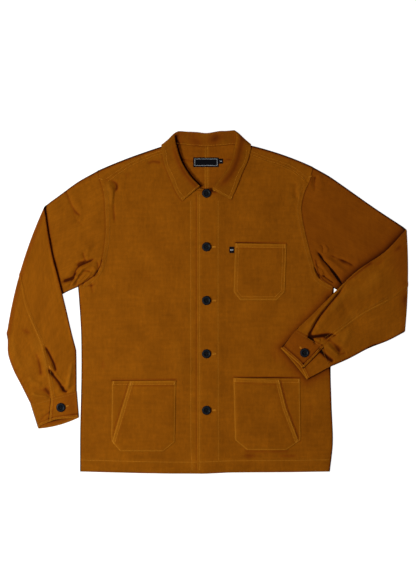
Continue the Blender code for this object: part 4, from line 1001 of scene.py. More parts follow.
def castResin(name):
    # cast polyester button resin, tumbled to a polish: near black with a blue-grey cast, glossy on its rim
    # and dull in the dish
    material, tree, shader = newMaterial(name, "#0A0C10", 0.4)
    shader.inputs["Specular IOR Level"].default_value = 0.07
    shader.inputs["IOR"].default_value = 1.55
    place = addNode(tree, "ShaderNodeTexCoord")
    cloud = addNode(tree, "ShaderNodeTexNoise", {
        "Vector": place.outputs["Object"], "Scale": 160.0, "Detail": 4.0})
    tone = addNode(tree, "ShaderNodeValToRGB", {"Fac": cloud.outputs["Fac"]}, (
        (0.35, linear("#040608")), (0.7, linear("#0B0F16"))))
    # the rim is made glossier, and its paler blue-grey colour is a painted highlight
    rim = addNode(tree, "ShaderNodeAttribute", attribute_name="rim")
    rimHighlight = addNode(tree, "ShaderNodeMix", {
        0: rim.outputs["Fac"], 6: tone.outputs["Color"], 7: linear("#0F151E")}, data_type="RGBA")
    tree.links.new(rimHighlight.outputs[2], shader.inputs["Base Color"])
    scratch = addNode(tree, "ShaderNodeTexNoise", {
        "Vector": place.outputs["Object"], "Scale": 1500.0, "Detail": 2.0})
    gloss = addNode(tree, "ShaderNodeMapRange", {
        "Value": rim.outputs["Fac"], "To Min": 0.75, "To Max": 0.24})
    rough = addNode(tree, "ShaderNodeMath", {
        0: scratch.outputs["Fac"], 1: 0.12, 2: gloss.outputs[0]}, operation="MULTIPLY_ADD")
    tree.links.new(rough.outputs[0], shader.inputs["Roughness"])
    return material


def wovenLabel(name, centreAt, half, inwards, width):
    # damask label tape of fine polyester yarn: dense and slightly lustrous with cross ribs, and a plain pale
    # line woven in, at a distance inside a box round its centre
    material, tree, shader = newMaterial(name, "#06070B", 0.75)
    shader.inputs["Specular IOR Level"].default_value = 0.05
    place = addNode(tree, "ShaderNodeUVMap", uv_map="cloth")
    inMm = addNode(tree, "ShaderNodeMapping", {
        "Vector": place.outputs["UV"], "Scale": (1000, 1000, 1000),
        "Location": (-centreAt[0], -centreAt[1], 0)})
    ribs = addNode(tree, "ShaderNodeTexWave", {
        "Vector": inMm.outputs["Vector"], "Scale": 0.314 / 0.7, "Distortion": 0.4}, wave_type="BANDS",
        bands_direction="Y")
    noise = addNode(tree, "ShaderNodeTexNoise", {
        "Vector": inMm.outputs["Vector"], "Scale": 1.6, "Detail": 3.0})
    parts = addNode(tree, "ShaderNodeSeparateXYZ", {"Vector": inMm.outputs["Vector"]})
    ways = []
    for axis, size in zip("XY", half):
        away = addNode(tree, "ShaderNodeMath", {0: parts.outputs[axis]}, operation="ABSOLUTE")
        ways.append(addNode(tree, "ShaderNodeMath", {
            0: away.outputs[0], 1: size - inwards}, operation="SUBTRACT"))
    box = addNode(tree, "ShaderNodeMath", {
        0: ways[0].outputs[0], 1: ways[1].outputs[0]}, operation="MAXIMUM")
    line = addNode(tree, "ShaderNodeMath", {0: box.outputs[0]}, operation="ABSOLUTE")
    pale = addNode(tree, "ShaderNodeMath", {0: line.outputs[0], 1: width / 2}, operation="LESS_THAN")
    tone = addNode(tree, "ShaderNodeValToRGB", {"Fac": noise.outputs["Fac"]}, (
        (0.3, linear("#030407")), (0.7, linear("#0A0C13"))))
    woven = addNode(tree, "ShaderNodeMix", {
        0: pale.outputs[0], 6: tone.outputs["Color"], 7: linear("#8B8F98")}, data_type="RGBA")
    tree.links.new(woven.outputs[2], shader.inputs["Base Color"])
    bump = addNode(tree, "ShaderNodeBump", {
        "Height": ribs.outputs["Fac"], "Strength": 0.5, "Distance": 0.0002})
    tree.links.new(bump.outputs["Normal"], shader.inputs["Normal"])
    return material


twill = cottonTwill("cottonTwill")
twillAcross = cottonTwill("cottonTwillOnCollar", 25.0, 0.86)
thread = spunThread("spunThread", "#B37218")
quietThread = spunThread("spunThreadTonal", "#935C10")
resin = castResin("castResin")
neckWeave = wovenLabel("neckLabelWeave", (-1.25, 322.0), (29.2, 11.0), 3.6, 0.9)
tabWeave = wovenLabel("tabWeave", (58.0, 120.8), (3.6, 1.4), 0.7, 1.4)
tagWeave = wovenLabel("tagWeave", (33.0, 324.2), (2.6, 0.9), 0.5, 1.0)
print("materials made")


# body panels

stitching = {
    "pitch": 3.4,
    "length": 2.7,
    "radius": 0.45,
    "raise": 0.12,
    "sunk": 0.28,  # how deep a row draws the cloth in
    "sunkPocket": 0.15,
}


# a band beside a line, used for painted shade at edges and for paler rubbed edges
def edgeBand(points, line, reach=5.0):
    return bell(lineDistance(points, line), reach)


# how much painted shade the body has at its side, hem, shoulder fold and under the collar, and how much
# paler its rows of stitches are
bodyShadeAndWear = {
    "side": 0.85,
    "hem": 0.3,
    "rim": 2.3,  # reach of both, mm
    "armRows": 0.06,
    "rows": 0.2,
    "shoulder": (0.6, 3.0),  # depth and reach
    "turn": 0.8,
    "underCollar": -0.12,
}


def frontOutline(name):
    edges = frontEdges(name)
    sign, hemY, corner = edges["sign"], centre["hemY"], centre["corner"]
    hem = hemLine(edges["side"][-1][0], edges["centreX"] + sign * corner, 60)[1:]
    hemY = hem[-1][1]
    turn = [(edges["centreX"] + sign * corner * (1 - math.sin(a)), hemY + corner * (1 - math.cos(a)))
            for a in np.linspace(0, math.pi / 2, 6)[1:-1]]
    front = [(edges["centreX"], y) for y in np.linspace(hemY + corner, centre["top"][name], 150)]
    return np.vstack([edges["arm"], edges["side"][1:], hem, turn, front, edges["neck"], edges["seam"][1:-1]])


def buildFront(name):
    outline = subdivided(inset(frontOutline(name), cloth["wall"] / 2 - cloth["lap"]), cloth["edgeStep"])
    lines = frontStitches(name)
    points, faces = filled(outline, cloth["meshStep"], grooveRows(lines), lambda p: creased(p, "body"))
    hem = hemLine(sides[name]["hemX"], -sides[name]["sign"] * 14)
    # painted shade along the side and the hem and beside what lies on the front; rows of stitches rubbed
    # paler, and the centre front edge paler
    wearAndShade = foldShadeAndHighlight(bodyRelief(points)) - bodyShadeAndWear["side"] * edgeBand(points, sideLine(name), bodyShadeAndWear["rim"])
    wearAndShade -= bodyShadeAndWear["hem"] * edgeBand(points, hem, bodyShadeAndWear["rim"])
    for k, line in enumerate(lines):
        addAlong(wearAndShade, points, [line], bodyShadeAndWear["armRows" if k in (0, 2) else "rows"], 3.5, 12)
    if name == "left":
        wearAndShade += 0.3 * edgeBand(points, ((-21, -380), (-21, 250)), 2.5)
    wearAndShade += contactShade(points, name)
    return clothPiece(f"front{name.title()}Twill", f"front_{name}",
                      np.column_stack([points, frontHeight(points, name)]), faces, points, wearAndShade,
                      cloth["wall"])


def backStitches(name):
    # the wearer's left half laps over the right one at the centre back and is stitched twice
    return [evenly(np.array(((x, 357.0), (x + 0.4, 180.0))), 3.0)
            for x in ((3.0, -2.8) if name == "left" else ())]


def backBand(points, name):
    return (name == "left") * 0.6 * (1 - smooth((points[:, 0] - 5.5) / 1.5)) * (points[:, 1] > 100)


def buildBack(name):
    fold = shoulderFold(name)
    curve = armholeCurve(name)
    below = atShares(curve, np.linspace(0.01, 1, 80))[::-1]
    above = fold.unfold(atShares(curve, np.linspace(0.01, shoulderShare, 10)))
    seam = fold.unfold(shoulderSeam(name)[::-1])
    neck = neckPoints(name, "back")
    side = sideLine(name)[::-1]
    middleX = -5.0 if name == "left" else 2.0
    hem = hemLine(middleX, side[0][0], 60)
    middle = [(middleX, y) for y in np.linspace(neck[-1][1] - 1, hem[0][1], 120)[1:-1]]
    turned = neck[1:][fold.split(neck[1:])[1] < 0]
    outline = np.vstack([turned, middle, hem, side[1:-1], below, above[1:], seam[1:]])
    outline = subdivided(inset(outline, cloth["wall"] / 2 - cloth["lap"]), cloth["edgeStep"] + 0.6)
    levels = np.linspace(-4, fold.arc + 6, 13)
    grid = [fold.join(np.array([along]), np.array([level]))[0]
            for along in np.arange(2, fold.length, 4.0) for level in levels]
    inNeck = [(x, y) for x in np.arange(-80, 80, 4.0) for y in np.arange(256, 356, 4.0)]
    crescent = [leftRoll(inwards) for inwards in (-1.0, 0.5, 2.0, 3.5, 5.0, 7.0)]
    lines = backStitches(name)
    points, faces = filled(outline, cloth["hiddenStep"],
                           np.vstack([grid, grooveRows(lines), inNeck, *crescent]))
    laid, z, turned = fold.lay(points, np.full(len(points), layers["backZ"]))
    z = z + collarLift(laid) + bodyRelief(laid) * turned + backBand(points, name)
    z = z + inNeckRelief(laid) * (1 - turned)
    # painted shade in the folds, in the shoulder fold's bend and behind it, under the collar and beside what
    # lies on the back; the stitched band rubbed paler
    wearAndShade = foldShadeAndHighlight(bodyRelief(laid)) * turned
    wearAndShade -= bodyShadeAndWear["turn"] * smooth(turned * 4) * smooth((1 - turned) * 3)
    past = fold.split(points)[1] - fold.arc
    depth, reach = bodyShadeAndWear["shoulder"]
    wearAndShade -= depth * (past > -1) * bell(past, reach)
    wearAndShade += np.minimum(contactShade(laid, name), bodyShadeAndWear["underCollar"]) * (1 - turned)
    addAlong(z, points, lines, -stitching["sunk"], 1.5, 8)
    addAlong(wearAndShade, points, lines, 0.25, 3, 8)
    if name == "right":
        z -= 0.55 * (1 - smooth((np.abs(points[:, 0]) - 5) / 3)) * (points[:, 1] < 330)
    return clothPiece(f"back{name.title()}Twill", f"back_{name}", np.column_stack([laid, z]), faces, points,
                      wearAndShade,
                      cloth["wall"])


pieces = {}
for sideName in sides:
    pieces[f"front{sideName}"] = buildFront(sideName)
    pieces[f"back{sideName}"] = buildBack(sideName)
print("body panels made")


# sleeves and cuffs

sleeve = {
    "across": 160,
    "edgeFaces": 4,
    "armSteps": 32,
    "foldFaces": 12,
    "foldClear": 3.0,
    "tuck": 1.2,  # how far the sleeve goes in under the body at the armhole
    "backSeam": 0.55,
    "edgeGap": 0.4,
    "sag": 50.0,
    "steps": (1.8, 3.6, 8.0),  # between points in creases, elsewhere and on hidden layers
    "leanStep": 3.0,  # length of a section near the cuff, and how far the seam's lean reaches up from it
    "leanReach": 60.0,
    "rim": (0.75, 3.8),  # depth and reach of painted shade at the edges
    # weaker painted shade on the edges that face the light, and painted shade beside the wearer's right
    # elbow's fold
    "litRim": {"right": 0.35, "left": 0.1},
    "foldRim": (0.3, 5.0),
    # the wearer's left elbow turns away from the light, widest at its upper end: place along it, and reach
    "elbowReach": ((40, 80, 117, 163, 210), (42, 36, 18, 13, 6)),
    "elbowDepth": 0.24,
    # painted shade along the armhole, and the back seam rubbed paler beside it
    "armholeRim": (0.55, 3.0),
    "seamWear": (0.35, 4.0),
}
cuff = {
    "steps": 24,
    "across": 56,
    "tabShare": 0.62,
    "tabOverlap": 0.3,
    "tabRaise": 2.3,
    "tabEnds": {"right": (0.54, 0.7), "left": (0.6, 0.71)},  # the upper end, at the seam and at the hand
    # how far the seam of the upper layer leans towards the hand at shares of its width
    "lean": {"right": ((0, 1), (0, 0)), "left": ((0, 0.3, 0.56, 0.8, 1), (20, 3, -11, -5, 0))},
    # how far the upper layer's end lies back at shares of its width, and the lower one's goes forward
    "drawn": {"right": ((0, 0.34, 0.55, 0.72, 0.92, 1), (0, 6.7, 10, 8.6, 6, 0)),
              "left": ((0, 0.216, 0.345, 0.47, 0.656, 0.715, 1), (0, 3.4, 6.0, 8.0, 9.6, 14.0, 0))},
    # the same for the end that lies under the other, where it differs
    "drawnUnder": {"left": ((0, 0.6, 0.73, 0.85, 1), (0, 9.5, 7.1, 4.3, 0))},
    "bowed": {"right": 5.0, "left": -1.5},
    # painted shade on the outside, at shares of the width
    "outsideShade": {"right": ((0.0, 0.25, 0.5), (0.26, 0.2, 0.0)),
               "left": ((0.5, 0.66, 0.72), (0.28, 0.28, 0.05))},
    # painted shade inside the mouth, at rows from the hand's edge
    "insideShade": ((0, 1, 2, 3.2, 5), (0, 0.1, 0.3, 0.35, 0.9)),
    "handEdge": (0.3, 0.9),  # wear of the edge itself, inside and outside
    "rowLength": 2.4,
}


def edgesThrough(sections, steps):
    sections = np.array(sections)
    return np.stack([through(sections[:, side], steps) for side in (0, 1)], axis=1)


def crossing(fold, first, second, level):
    near, far = fold.split(first)[1], fold.split(second)[1]
    share = (level - near) / (far - near)
    return first + (second - first) * share[:, None]


def sleeveSections(name):
    fold = elbowFold(name)
    arm, forearm = [], []
    for kind, *ends in sleeveRows[name]:
        ends = np.array(ends, float).reshape(2, 2)
        if kind == "arm":
            arm.append(ends)
        elif kind == "fold":
            crease = fold.crease(ends)
        elif kind == "forearm":
            forearm.append(fold.unfold(ends))
        else:
            end = fold.unfold(ends)
    before = crossing(fold, arm[-1], crease, -sleeve["foldClear"])
    after = crossing(fold, crease, forearm[0], fold.arc + sleeve["foldClear"])
    bend = [crossing(fold, before, after, level)
            for level in np.linspace(0, fold.arc, sleeve["foldFaces"] + 1)]
    upperArm = edgesThrough(arm + [before], sleeve["armSteps"])
    lowerArm = edgesThrough([after] + forearm, sleeve["armSteps"])
    band = np.linspace(forearm[-1], end, cuff["steps"] + 1)
    rise, fall = smooth(np.linspace(0, 1, len(upperArm))), smooth(np.linspace(1, 0, len(lowerArm)))
    holeShare = np.concatenate([1 - rise, np.zeros(len(bend) + len(lowerArm))])
    bowShare = np.concatenate([rise, np.ones(len(bend)), fall])
    return np.concatenate([upperArm, bend, lowerArm]), band, holeShare, bowShare


def ringPlaces(width, across, low, high, end=0.0):
    # one turn round a flat tube: from low to 1 on the back, round the lower edge, over the front, round the
    # upper edge, and on the back from 0 to high; each place is a share of the width and 0 back to 1 front
    radius = layers["bodyFoldZ"] - layers["backZ"]
    angles = np.linspace(0, math.pi / 2, sleeve["edgeFaces"] + 1)
    rounds = [((layers["bodyFoldZ"] - radius * math.cos(a)) / width, math.sin(a) / 2) for a in angles]
    roundEnd = layers["bodyFoldZ"] / width
    lower = [(1 - x, 0.5 - h) for x, h in rounds[::-1]]
    front = [(1 - x, 0.5 + h) for x, h in rounds]
    front += [(share, 1.0) for share in np.linspace(1 - roundEnd, roundEnd, across + 1)[1:]]
    front += [(x, 0.5 + h) for x, h in rounds[:-1][::-1]] + [(x, 0.5 - h) for x, h in rounds[1:]]
    first = front[0][0], front[0][1] + end
    last = lower[-1][0], lower[-1][1] - end
    found = []
    if low is not None:
        count = 4 * round(across * (1 - low) / 4)
        found += [(share, 0.0) for share in np.linspace(low, 1 - roundEnd, count + 1)[:-1]] + lower[:-1]
        found += [last] if high is None else []
    if high is not None:
        count = 4 * round(across * high / 4)
        found += [first] + front[1:]
        found += [(share, 0.0) for share in np.linspace(roundEnd, high, count + 1)[1:]]
    return np.array(found)


def carried(points, name):
    # 1 where the arm or the body carries a forearm, 0 where it has come down beside it
    supports = [rowsOutline(name, ("arm", "fold"))]
    if name == "left":
        supports.append(np.array([*sideLine(name), (0, centre["hemY"]), (0, 250), *sides[name]["armhole"]]))
    away = np.min([outsideDistance(points, outline) for outline in supports], axis=0)
    return 1 - smooth((away - 1) / sleeve["sag"])


def forearmRelief(points):
    uneven = relief(points, "forearm") + waviness(points, 5, 80, 0.4) + waviness(points, 9, 30, 0.12)
    return settled(uneven, 2.6)


def laySleeve(name, points, z):
    fold = elbowFold(name)
    laid, z, turned = fold.lay(points, z)
    backZ, frontZ, foldZ = layers["backZ"], layers["frontZ"], layers["sleeveFoldZ"]
    upperZ = np.where(turned > 0.5, 2 * foldZ - backZ, frontZ)
    layer = 1 - np.clip(np.abs(z - upperZ) / (frontZ - backZ), 0, 1)
    over = smooth(turned * 2 - 1)
    z = z - over * (foldZ + cloth["seam"]) * (1 - carried(laid, name))
    z = z + collarLift(laid) * (1 - over)
    folds = (turned < 0.5) * bodyRelief(laid) * (1 - smooth(turned * 4)) + over * forearmRelief(laid)
    return laid, z + layer * folds


sleeveShapes = {}
for sideName in sides:
    sections, band, holeShare, bowShare = sleeveSections(sideName)
    curve = armholeCurve(sideName)
    first = sections[1] - sections[0]
    last = sections[-2] - sections[-1]
    trimmed = sections.copy()
    trimmed[0] -= first / np.linalg.norm(first, axis=1)[:, None] * sleeve["tuck"]
    trimmed[-1] -= last / np.linalg.norm(last, axis=1)[:, None] * sleeve["tuck"]
    roundEnd = layers["bodyFoldZ"] / lengthsOf(curve)[-1]
    sleeveShapes[sideName] = {
        "sections": trimmed, "band": band, "holeShare": holeShare, "bowShare": bowShare, "curve": curve,
        "ends": (roundEnd, 1 - roundEnd),
    }


def handward(name):
    band = sleeveShapes[name]["band"]
    run = band[-1].mean(axis=0) - band[0].mean(axis=0)
    return run / np.linalg.norm(run)


def sleevePlace(name, k, places):
    # where section k has each place of the flat tube
    shape, fold = sleeveShapes[name], elbowFold(name)
    ends, across = shape["sections"][k], places[:, 0]
    flat = ends[0] + np.outer(across, ends[1] - ends[0])
    between = np.clip(across, *shape["ends"])
    curve = shape["curve"]
    chord = curve[0] + np.outer(between, curve[-1] - curve[0])
    flat += (atShares(curve, between) - chord) * shape["holeShare"][k]
    bows = [fold.bowed((place - fold.start) @ fold.along) for place in (flat, *ends)]
    bowed = bows[0] - bows[1] * (1 - across) - bows[2] * across
    flat += np.outer(bowed, fold.out) * shape["bowShare"][k]
    z = layers["backZ"] + (layers["frontZ"] - layers["backZ"]) * places[:, 1]
    fromEnd = (len(shape["sections"]) - 1 - k) * sleeve["leanStep"]
    if fromEnd < sleeve["leanReach"]:
        fade = 1 - smooth(fromEnd / sleeve["leanReach"])
        lean = np.interp(across, *cuff["lean"][name]) * (1 - places[:, 1]) * fade
        flat += np.outer(lean, handward(name))
    return flat, z - 0.7 * max(0, 1 - k / 2.5)


def stripFaces(rowCount, count):
    return [(row * count + k, row * count + k + 1, (row + 1) * count + k + 1, (row + 1) * count + k)
            for row in range(rowCount - 1) for k in range(count - 1)]


def powerOfTwo(value):
    return 2 ** np.floor(np.log2(np.maximum(value, 1))).astype(int)


def stripRings(sideName, widths, down, low, high):
    # the sections of one piece of the flat tube, with its seam's band, sunk rows and puckers
    depth = layers["frontZ"] - layers["backZ"]
    end = (sleeve["edgeGap"] + 0.5) / depth
    rings, flats, heights, unrolled = [], [], [], []
    for k, width in enumerate(widths):
        lap = cloth["lap"] / width
        ring = ringPlaces(width, sleeve["across"], low and low - lap, high and high + lap, end)
        flat, z = sleevePlace(sideName, k, ring)
        across = lengthsOf(ring * (width, depth))
        seamward = across[-1] - across if high else across
        band = (1 - smooth((seamward - seams["rows"][1] - 0.6) / 1.6)) * (1 if high else -0.35)
        z = z - band * seams["bandRise"]
        for row in seams["rows"] if high else ():
            z = z + seams["grooveDepth"] * bell(seamward - row, seams["grooveWidth"])
        ripple = np.sin(down[k] * math.tau / seams["puckerSpacing"] + 2 * math.sin(down[k] / 19))
        heights.append(z + seams["puckerHeight"] * ripple * bell(seamward - 5, 7))
        flats.append(flat)
        rings.append(ring)
        unrolled.append(np.column_stack([across - across[-1] / 2, np.full(len(ring), -down[k])]))
    return np.array(rings), np.vstack(flats), np.concatenate(heights), np.vstack(unrolled)


def stripPlaces(laid, turned, share, seen, widths, down):
    # the rim's places in order, and of the others those that the folds need
    rowCount, count = share.shape
    folded = np.where(turned < 0.5, creased(laid, "body").reshape(share.shape),
                      creased(laid, "forearm").reshape(share.shape)) & seen
    target = np.where(folded, sleeve["steps"][0], np.where(seen, sleeve["steps"][1], sleeve["steps"][2]))
    spacing = np.broadcast_to((widths / sleeve["across"])[:, None], target.shape)
    between = np.broadcast_to(np.gradient(down)[:, None], target.shape)
    columns, rows = np.meshgrid(np.arange(count), np.arange(rowCount))
    kept = (columns % powerOfTwo(target / spacing) == 0) & (rows % powerOfTwo(target / between) == 0)
    kept |= (share > 0) & (share < 1) & (rows % 2 == 0)
    onRim = (columns == 0) | (columns == count - 1) | (rows == 0) | (rows == rowCount - 1)
    rim = [(0, k) for k in range(0, count - 1, 2)] + [(k, count - 1) for k in range(0, rowCount - 1, 2)]
    rim += [(rowCount - 1, k) for k in range(count - 1, 0, -4)]
    rim += [(k, 0) for k in range(rowCount - 1, 0, -2)]
    return np.array([row * count + k for row, k in rim]), np.flatnonzero((kept & ~onRim).ravel())


def stripShadeAndHighlight(sideName, place, over, seen, edge, past, foldward):
    # painted shade and highlight of the folds, painted shade beside what lies on it and at the edges, and
    # painted shade and highlight at the elbow's fold
    below = np.minimum(foldShadeAndHighlight(bodyRelief(place)), contactShade(place, sideName) * 0.9)
    wearAndShade = np.where(over, foldShadeAndHighlight(forearmRelief(place)), below) * seen
    lit = over * (edge[:, 0] > edge[:, 1] if sideName == "right" else edge[:, 0] < edge[:, 1])
    depth, reach = sleeve["rim"]
    nearest = edge.min(axis=1)
    wearAndShade -= depth * (1 - lit) * bell(nearest, reach) + sleeve["litRim"][sideName] * lit * bell(nearest, 5)
    if sideName == "left":
        # painted shade where the elbow turns away from the light, and a painted highlight on its bend
        reach = np.interp(foldward, *sleeve["elbowReach"])
        bend = 0.3 * smooth((past + 8) / 4) - 0.2
        return wearAndShade + np.where(past > 0, -sleeve["elbowDepth"] * bell(past, reach), bend)
    # painted shade beside the elbow's fold
    depth, reach = sleeve["foldRim"]
    return wearAndShade - (past > -4) * depth * bell(past, reach)


def buildStrip(name, sideName, nodeName, low, high):
    # a sleeve's piece on a fine grid of places, of which only those are kept that its folds need
    sections, fold = sleeveShapes[sideName]["sections"], elbowFold(sideName)
    widths = np.linalg.norm(sections[:, 1] - sections[:, 0], axis=1)
    down = lengthsOf(sections.mean(axis=1))
    rings, flats, heights, plan = stripRings(sideName, widths, down, low, high)
    share, count = rings[:, :, 1], rings.shape[1]
    laid, z = laySleeve(sideName, flats, heights)
    turned = fold.lay(flats, z)[2].reshape(share.shape)
    seen = np.where(turned < 0.5, share > 0.4, share < 0.6)
    rim, inner = stripPlaces(laid, turned, share, seen, widths, down)
    chosen = np.concatenate([rim, inner])
    found = delaunay_2d_cdt([tuple(p) for p in plan[chosen]], [], [list(range(len(rim)))], 1, 1e-4)
    chosen = chosen[[sources[0] for sources in found[3]]]
    edge = np.stack([rings[:, :, 0], 1 - rings[:, :, 0]], axis=2) * widths[:, None, None]
    foldward, past = fold.split(flats[chosen])
    wearAndShade = stripShadeAndHighlight(sideName, laid[chosen], turned.ravel()[chosen] > 0.5, seen.ravel()[chosen],
                     edge.reshape(-1, 2)[chosen], past - fold.arc, foldward)
    # painted shade along the armhole, and the back seam rubbed paler
    depth, reach = sleeve["armholeRim"]
    wearAndShade -= depth * bell(plan[chosen][:, 1] + down[0], reach)
    if high:
        seamX = plan[chosen // count * count + count - 1][:, 0]
        paler, reach = sleeve["seamWear"]
        wearAndShade += paler * bell(plan[chosen][:, 0] - seamX, reach)
    return clothPiece(name, nodeName, np.column_stack([laid, z])[chosen], found[2], plan[chosen], wearAndShade,
                      cloth["wall"])


def buildSleeve(name):
    for part, ends in (("Top", (None, sleeve["backSeam"])), ("Under", (sleeve["backSeam"], None))):
        pieces[f"sleeve{part}{name}"] = buildStrip(
            f"sleeve{name.title()}{part}Twill", name, f"sleeve_{name}_{part.lower()}", *ends)


def cuffPlace(name, k, places, over):
    # the cuff's ring: the part on the back beyond tabShare lies under the other end
    band = sleeveShapes[name]["band"]
    ends = band[k]
    share, height = places[:, 0], places[:, 1]
    backZ, frontZ = layers["backZ"], layers["frontZ"] - (cloth["doubleWall"] - cloth["wall"]) / 2
    flat = ends[0] + np.outer(share, ends[1] - ends[0])
    near = (k / cuff["steps"]) ** 1.6
    bulge = np.sin(math.pi * np.clip(share, 0, 1)) ** 0.8
    upper = cuff["drawn"][name]
    drawn = np.where(over, np.interp(share, *upper), np.interp(share, *cuff["drawnUnder"].get(name, upper)))
    move = near * (-drawn * (1 - height) + cuff["bowed"][name] * bulge * height)
    move += np.interp(share, *cuff["lean"][name]) * (1 - height) * (1 - smooth(k / cuff["steps"]))
    return flat + np.outer(move, handward(name)), backZ + (frontZ - backZ) * height


def tabEdge(name, k):
    return np.interp(k / cuff["steps"], (0, 1), cuff["tabEnds"][name])


def cuffRaise(share, k):
    return cuff["tabRaise"] * smooth((share - 0.06) / 0.16) * (0.25 + 0.75 * smooth(k / 9))


def cuffShadeAndWear(name, laid, height, shares, beyond, over):
    # the edge at the hand and the tab's end rubbed paler; painted shade in the folds, on the tube's edges,
    # inside the mouth, on the outside, in a line near the hand's edge, in a line inside the tab's end and as
    # a shadow beside the tab's end
    outside, inside = height < 0.05, height > 0.9
    fromHand = np.arange(len(height))[::-1, None]
    wearAndShade = foldShadeAndHighlight(forearmRelief(laid)).reshape(height.shape) * (height < 0.5)
    wearAndShade -= 0.8 * (height > 0.05) * (height < 0.95)
    wearAndShade -= inside * np.interp(fromHand, *cuff["insideShade"])
    wearAndShade -= outside * np.interp(shares, *cuff["outsideShade"][name])
    wearAndShade -= outside * 0.3 * bell(fromHand - 3, 0.9)
    wearAndShade[-1] = np.where(inside[-1], *cuff["handEdge"])
    wearAndShade += over * (0.7 * bell(beyond, 1.8) - 0.3 * bell(beyond - 5.5, 1.8))
    return wearAndShade - ~over * outside * 0.9 * bell(beyond - 0.6, 2.4)


def buildCuff(name):
    band = sleeveShapes[name]["band"]
    first = band[1] - band[0]
    band[0] += first / np.linalg.norm(first, axis=1)[:, None] * (cloth["doubleWall"] / 2 - cloth["lap"])
    tabShare, across = cuff["tabShare"], cuff["across"]
    flats, heights, unrolled, rings, beyond = [], [], [], [], []
    for k, ends in enumerate(band):
        width = np.linalg.norm(ends[1] - ends[0])
        ring = ringPlaces(width, across, tabShare - cuff["tabOverlap"], tabShare)
        over = np.arange(len(ring)) > len(ring) - 4 * round(across * tabShare / 4) - 3
        ring[:, 0] *= np.where(over, tabEdge(name, k) / tabShare, 1)
        flat, z = cuffPlace(name, k, ring, over)
        beyond.append(np.where(over, -1, 1) * (ring[:, 0] - tabEdge(name, k)) * width)
        flats.append(flat)
        heights.append(z - cuffRaise(ring[:, 0], k) * over)
        rings.append(ring)
        unrolled.append(np.column_stack([lengthsOf(ring * (width, layers["frontZ"] - layers["backZ"])),
                                         np.full(len(ring), -k * cuff["rowLength"])]))
    rings = np.array(rings)
    laid, z = laySleeve(name, np.vstack(flats), np.concatenate(heights))
    wearAndShade = cuffShadeAndWear(name, laid, rings[:, :, 1], rings[:, :, 0], np.array(beyond), over)
    pieces[f"cuff{name}"] = clothPiece(
        f"cuff{name.title()}Twill", f"cuff_{name}", np.column_stack([laid, z]), stripFaces(*rings.shape[:2]),
        np.vstack(unrolled), wearAndShade.ravel(), cloth["doubleWall"])


for sideName in sides:
    buildSleeve(sideName)
    buildCuff(sideName)
print("sleeves and cuffs made")


# collar

collar = {
    "fallZ": 1.3,
    "gap": 1.4,
    "standFaces": 12,
    "fallFaces": 24,
    "standTurn": 3.5,
    "fallTurn": (8.0, 5.0),
    "fallLevel": ((0.8, 0.8, 0.0), (0.45, 0.45, 0.2)),
    "rowSteps": 9,
}


def collarSection(row):
    seamX, seamY, wrap, rollX, rollY, rollZ, edgeX, edgeY, edgeWrap, turn = row
    ends = np.array([(seamX, seamY), (edgeX, edgeY)])
    raised = collarLift(ends)
    over = centre["rise"] * smooth((centre["overlap"] + centre["ramp"] - ends[:, 0]) / centre["ramp"])
    over *= ends[:, 0] > -centre["overlap"] - 3
    wall, double, seam = cloth["wall"], cloth["doubleWall"], cloth["seam"]
    seamZ = layers["backZ"] + (layers["frontZ"] - layers["backZ"] + over[0]) * wrap + raised[0]
    edgeTop = layers["frontZ"] + wall / 2 + 2 * seam + double / 2 + raised[1] + over[1]
    edgeZ = collar["fallZ"] + (edgeTop - collar["fallZ"]) * edgeWrap
    roll = np.array((rollX, rollY, rollZ))
    inwards = roll[:2] - ends[0]
    inwards = inwards / np.linalg.norm(inwards) * collar["gap"]
    start = np.array((*(ends[0] + inwards), seamZ))
    edge = np.array((edgeX, edgeY, edgeZ))
    angle = math.radians(turn)
    heading = np.array((math.copysign(math.cos(angle), rollX), 0, math.sin(angle)))
    standMid = start + (roll - start) * (0.35, 0.35, 0.15)
    behind, before = np.array(collar["fallLevel"])
    fallMid = edge + (roll - edge) * (behind + (before - behind) * edgeWrap)
    reach = np.interp(edgeWrap, (0, 1), collar["fallTurn"])
    stand = [bezier(start, standMid, roll - heading * collar["standTurn"], roll, t)
             for t in np.linspace(0, 1, collar["standFaces"] + 1)]
    fall = [bezier(roll, roll + heading * reach, fallMid, edge, t)
            for t in np.linspace(0, 1, collar["fallFaces"] + 1)[1:] ** 1.15]
    return np.array(stand + fall)


def collarGrid():
    rows = through(np.array(collarRows, float), collar["rowSteps"])
    rings = [collarSection(row) for row in rows]
    count = len(rings[0])
    points, faces = np.vstack(rings), stripFaces(len(rings), count)
    normals = vertexNormals(points, faces)
    flips = np.sign(normals.reshape(-1, count, 3)[len(rings) // 2, 4, 2])
    runs = [np.linalg.norm(b - a, axis=1).mean() for a, b in zip(rings, rings[1:])]
    along = np.concatenate([[0], np.cumsum(runs)])
    across = np.array([lengthsOf(ring) for ring in rings])
    shape = (len(rings), count, 3)
    # what shows is the outside of the turn: unevenness, and the rows of stitches sunk into it
    outward = (normals * flips).reshape(shape)
    plan = np.column_stack([np.repeat(along, count), across.ravel()])
    fromEdge = across[:, -1:] - across
    dent = waviness(plan, 31, 60, 0.5) + waviness(plan, 32, 22, 0.14)
    dent = dent.reshape(across.shape) * smooth(across / 12)
    dent -= 0.22 * bell(fromEdge - 4.2, 1.4)
    dent += 0.12 * np.sin(along / 1.5)[:, None] * bell(fromEdge - 3, 4)
    points = points.reshape(shape) + outward * dent[:, :, None]
    return points, outward, along, across, faces


